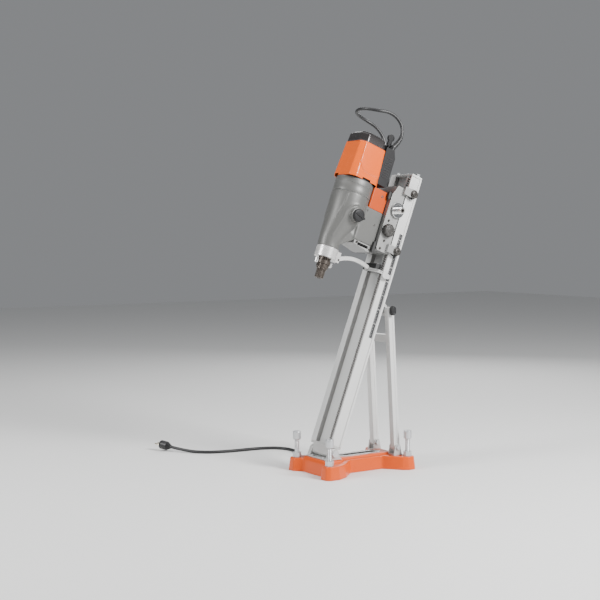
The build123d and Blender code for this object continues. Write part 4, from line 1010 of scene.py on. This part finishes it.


# ---- Rear cover ----
# A second orange moulding behind the gearbox hides the wiring between the motor and the block.
# Painted shade: the shell's orange made darker, as the cover lies in shade.
shaded_cover_orange = finish_of("rear cover orange", (0.50, 0.060, 0.003), 0.0, 0.34, grain=500, depth=0.06,
                         mottle=0.08, specular=0.35, worn=((0.80, 0.22, 0.05), 0.0020, 0.7))
dressed("rear_cover", "carriage", shaded_cover_orange, "orange_shell", edge=0.0026, segments=4)
for side, hand in SIDES:
    recess = turned(f"rear_cover_screw_{hand}", on_mast(side * 0.0448, -0.106, 0.868), (side, 0, 0),
                    [(0.0, 0.0046), (0.0006, 0.0046), (0.0008, 0.0040), (0.0003, 0.0036),
                     (0.0003, hexagon(0.0018)), (0.0, hexagon(0.0018))], count=36)
    fitted(recess, "carriage", dark_steel, "dark_steel")


# ---- Switch case ----
# A black moulded box behind the motor holds the electronics. Grip ribs cross its near and far
# sides, and the cord's gland stands on its top.
dressed("switch_case", "carriage", black_plastic, "black_plastic", edge=0.0030, segments=4)
dressed("cable_gland", "carriage", black_plastic, "black_rubber", edge=0.0007)
grip_points, grip_faces = [], []
grip_front, grip_rear, grip_half = -0.128, -0.101, 0.0021
for side in (-1, 1):
    for rib in range(9):
        up = 0.935 + rib * 0.0085
        start = len(grip_points)
        for out, inset in ((-0.0004, 0.0), (0.0010, 0.0007)):
            front, rear, half = grip_front + inset, grip_rear - inset, grip_half - inset
            grip_points += [on_mast(side * (0.034 + out), back, up + rise) for back, rise in (
                (front, -half), (rear, -half), (rear, half), (front, half))]
        grip_faces += [tuple(start + i for i in face) for face in BOX_FACES]
case_ribs = new_piece("switch_case_ribs", smooth(mesh_of("switch_case_ribs", grip_points, grip_faces), 30))
fitted(case_ribs, "carriage", black_plastic, "black_plastic")


# ---- Switch paddle ----
# The on and off rocker: a soft-edged black lever on a pin between two lugs of the case.
dressed("switch_paddle", "switch_paddle", black_plastic, "black_plastic", edge=0.0022, segments=4)


# ---- Speed selector ----
# A black turning knob with fine grip ribs and one pointer, for three speeds.
selector_boss, selector_gap = 0.008, 0.0003
selector_start = box_radius + selector_boss + selector_gap
selector_profile = [(0.0, 0.0170), (0.0, 0.0206), (0.0010, 0.0214)]
selector_profile += [(along, lambda a, r=radius: r - 0.0007 * (math.cos(28 * a) > 0)) for along, radius in (
    (0.0016, 0.0215), (0.0070, 0.0213))]
selector_profile += [(0.0076, 0.0207), (0.0092, 0.0190), (0.0098, 0.0172), (0.0098, 0.0060)]
selector = turned("selector_dial", on_mast(selector_start, KNOB_BACK, KNOB_UP), (1, 0, 0),
                  selector_profile, count=168)
fitted(selector, "selector_knob", black_plastic, "black_plastic", "selector_knob")
bar_turn = math.radians(-15)
bar_rings = []
for out, wide, long_in, long_out in ((0.0085, 0.0042, 0.0175, 0.0245), (0.0118, 0.0040, 0.0170, 0.0240),
                                     (0.0130, 0.0030, 0.0160, 0.0225)):
    ring = []
    for i in range(40):
        angle = 2 * math.pi * i / 40
        end = long_out - wide if math.cos(angle) > 0 else -(long_in - wide)
        along, cross = end + math.cos(angle) * wide, math.sin(angle) * wide
        ring.append(on_mast(selector_start + out,
                            KNOB_BACK + along * math.cos(bar_turn) - cross * math.sin(bar_turn),
                            KNOB_UP + along * math.sin(bar_turn) + cross * math.cos(bar_turn)))
    bar_rings.append(ring)
selector_bar = skinned("selector_pointer", bar_rings, 40)
fitted(selector_bar, "selector_knob", black_plastic, "black_plastic")


# ---- Adapter and release wedges ----
# The quick-release joint: a cast adapter under the gearbox block, and rubber-faced wedges that
# fill the gap between block and carriage.
dressed("adapter_plate", "carriage", carriage_silver, "cast_aluminium", edge=0.0022, segments=3)
rubber = finish_of("soft rubber", (0.022, 0.022, 0.022), 0.0, 0.58, grain=600, depth=0.25, mottle=0.25,
                   worn=((0.07, 0.07, 0.07), 0.0012, 0.6))
dressed("release_wedges", "carriage", rubber, "black_rubber", edge=0.0006)
dressed("motor_fasteners", "carriage", dark_steel, "dark_steel", edge=0.0006)
wedge_out, wedge_back, wedge_half = 0.0472, -0.0868, 0.0055
for where, up, tall in (("lower", 0.676, 0.040), ("upper", 0.868, 0.026)):
    for side, hand in SIDES:
        wedge_rings = []
        for out, size in ((0.0, 0.96), (0.0008, 1.0), (0.0080, 1.0), (0.0100, 0.92), (0.0106, 0.78),
                          (0.0098, 0.70), (0.0098, 0.30)):
            wide = wedge_half * size
            wedge_rings.append([on_mast(side * (wedge_out + out), wedge_back + back, up + tall / 2 + rise)
                                for back, rise in oblong(tall / 2 - wide, wide, 56)])
        wedge = skinned(f"release_wedge_{where}_{hand}", wedge_rings, 35)
        fitted(wedge, "carriage", rubber, "black_rubber")


# ---- Neck and water collar ----
# A turned aluminium collar below the gearbox feeds water to the spindle. It is satin finished,
# with a lug for the steady arm.
neck_silver = finish_of("turned satin aluminium", (0.72, 0.71, 0.70), 0.55, 0.30, grain=420, depth=0.05,
                        mottle=0.08, worn=((0.92, 0.91, 0.90), 0.0014, 0.6))
dressed("neck_collar", "carriage", neck_silver, "bright_steel", edge=0.0018, segments=3)
SPINDLE_BACK = -0.225
for number, up in enumerate((0.6125, 0.6300)):
    band = turned(f"neck_band_{number + 1}", on_mast(0, SPINDLE_BACK, up), UP_MAST,
                  [(0.0, 0.0365), (0.0, 0.0372), (0.0006, 0.0378), (0.0034, 0.0378), (0.0040, 0.0372),
                   (0.0040, 0.0365)], count=96)
    fitted(band, "carriage", neck_silver, "bright_steel")


# ---- Drill spindle ----
# The hardened spindle: a 31.8 mm male thread, a shoulder, and a long collar with two spanner
# flats. It is hollow for the water, and dark from oil and slurry.
spindle_brown = finish_of("slurry-stained steel", (0.075, 0.062, 0.052), 0.6, 0.38, grain=420, depth=0.15,
                          mottle=0.30, worn=((0.30, 0.26, 0.23), 0.0010, 0.7))
spindle_end = 0.535


def with_flats(angle, radius, flat):
    """A round section cut by two opposite flats."""
    return min(radius, flat / max(abs(math.cos(angle)), 1e-6))


spindle_profile = [(0.012, 0.0030), (0.012, 0.0060), (0.0006, 0.0060), (0.0, 0.0068), (0.0, 0.0136),
                   (0.0008, 0.0144)]
steps = 110
for step in range(steps + 1):
    along = 0.0012 + 0.0284 * step / steps
    spindle_profile.append((along, lambda a, z=along: thread_radius(a, z, 0.0159, 0.0016, 0.0036)))
spindle_profile += [(0.0300, 0.0142), (0.0302, 0.0172), (0.0308, 0.0180), (0.0344, 0.0180), (0.0352, 0.0196),
                    (0.0362, 0.0206)]
spindle_profile += [(along, lambda a: with_flats(a, 0.0207, 0.0182)) for along in (0.0366, 0.0470)]
spindle_profile += [(0.0474, 0.0207), (0.0990, 0.0207), (0.1000, 0.0150), (0.2500, 0.0120)]
spindle = turned("core_spindle", on_mast(0, SPINDLE_BACK, spindle_end), UP_MAST, spindle_profile,
                 count=96, sharp=50)
fitted(spindle, "spindle", spindle_brown, "dark_steel", "drill_spindle")


# ---- Release ring ----
# A stained steel ring with two bright round ears breaks the core bit loose from the thread.
dressed("release_ring", "spindle", spindle_brown, "dark_steel", edge=0.0018, segments=4)
for side, hand in ((1, "rear"), (-1, "front")):
    ear = turned(f"release_ear_{hand}", on_mast(0, SPINDLE_BACK + side * 0.0282, 0.5815), UP_MAST,
                 [(0.0, 0.0030), (0.0, 0.0056), (0.0012, 0.0068), (0.0138, 0.0068), (0.0150, 0.0056),
                  (0.0150, 0.0030)], count=48)
    fitted(ear, "spindle", bright_steel, "bright_steel")


# ---- Steady arm, guide and wiper ----
# A curved cast arm with raised edges links the neck's lug to a guide bar that crosses the
# mast's front. A rubber wiper under the carriage keeps the recess clean.
arm_silver = finish_of("steady arm casting", (0.60, 0.60, 0.59), 0.4, 0.40, grain=700, depth=0.20,
                       mottle=0.09, worn=((0.86, 0.86, 0.85), 0.0012, 0.6))
dressed("steady_arm", "carriage", arm_silver, "cast_aluminium", edge=0.0014, segments=3)
guide_line = [(-0.016, -0.0450), (-0.006, -0.0452), (0.016, -0.0446), (0.040, -0.0408), (0.057, -0.0366),
              (0.0630, -0.0330), (0.0655, -0.0270), (0.0660, -0.0140), (0.0660, 0.0030)]
guide_up, guide_drop = 0.6330, 0.0120
guide_rings = []
for i, (x, back) in enumerate(guide_line):
    before, after = guide_line[max(i - 1, 0)], guide_line[min(i + 1, len(guide_line) - 1)]
    heading = Vector((after[0] - before[0], after[1] - before[1])).normalized()
    normal = Vector((heading.y, -heading.x))
    up = guide_up - guide_drop * i / (len(guide_line) - 1)
    ring = []
    for out, rise in ((-0.0026, -0.0052), (0.0026, -0.0052), (0.0034, -0.0044), (0.0034, -0.0026),
                      (0.0018, -0.0018), (0.0018, 0.0018), (0.0034, 0.0026), (0.0034, 0.0044),
                      (0.0026, 0.0052), (-0.0026, 0.0052), (-0.0034, 0.0044), (-0.0034, -0.0044)):
        ring.append(on_mast(x + normal.x * out, back + normal.y * out, up + rise))
    guide_rings.append(ring)
guide_bar = skinned("steady_guide_bar", guide_rings, 40)
fitted(guide_bar, "carriage", arm_silver, "cast_aluminium", "steady_fork")
clip_rings = [[on_mast(out, back, up) for back, up in (
    (-0.0300, 0.6360), (-0.0060, 0.6270), (0.0040, 0.6180), (-0.0020, 0.6110), (-0.0200, 0.6080),
    (-0.0300, 0.6130))] for out in (0.0670, 0.0710)]
guide_clip = skinned("steady_guide_clip", clip_rings, 40)
softened = guide_clip.modifiers.new("broken edges", "BEVEL")
softened.width = 0.0012
softened.segments = 3
fitted(guide_clip, "carriage", arm_silver, "cast_aluminium")
dressed("mast_wiper", "carriage", rubber, "black_rubber", edge=0.0020, segments=3)


# ---- Drive train ----
# Inside the gearbox and the motor: hardened gears and shafts, ball bearings, the armature, the
# copper field coil, and the electronics board in the switch case.
copper = finish_of("winding copper", (0.60, 0.26, 0.11), 1.0, 0.35, grain=900, depth=0.2)
board = finish_of("board green", (0.02, 0.12, 0.06), 0.0, 0.3, grain=900, depth=0.05)
for node, material in (("lay_shaft", dark_steel), ("armature", dark_steel), ("spindle_gear", dark_steel),
                       ("spindle_bearings", bright_steel), ("field_coil", copper), ("circuit_board", board)):
    coated(node, material)


# ---- Sizes ----
# The boxes of the CAD model and of the finished model are written side by side.
look_low, look_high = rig.bounds()
with open("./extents.json", "w") as out:
    json.dump({"cad": [list(cad_low), list(cad_high)], "visual": [list(look_low), list(look_high)]}, out)
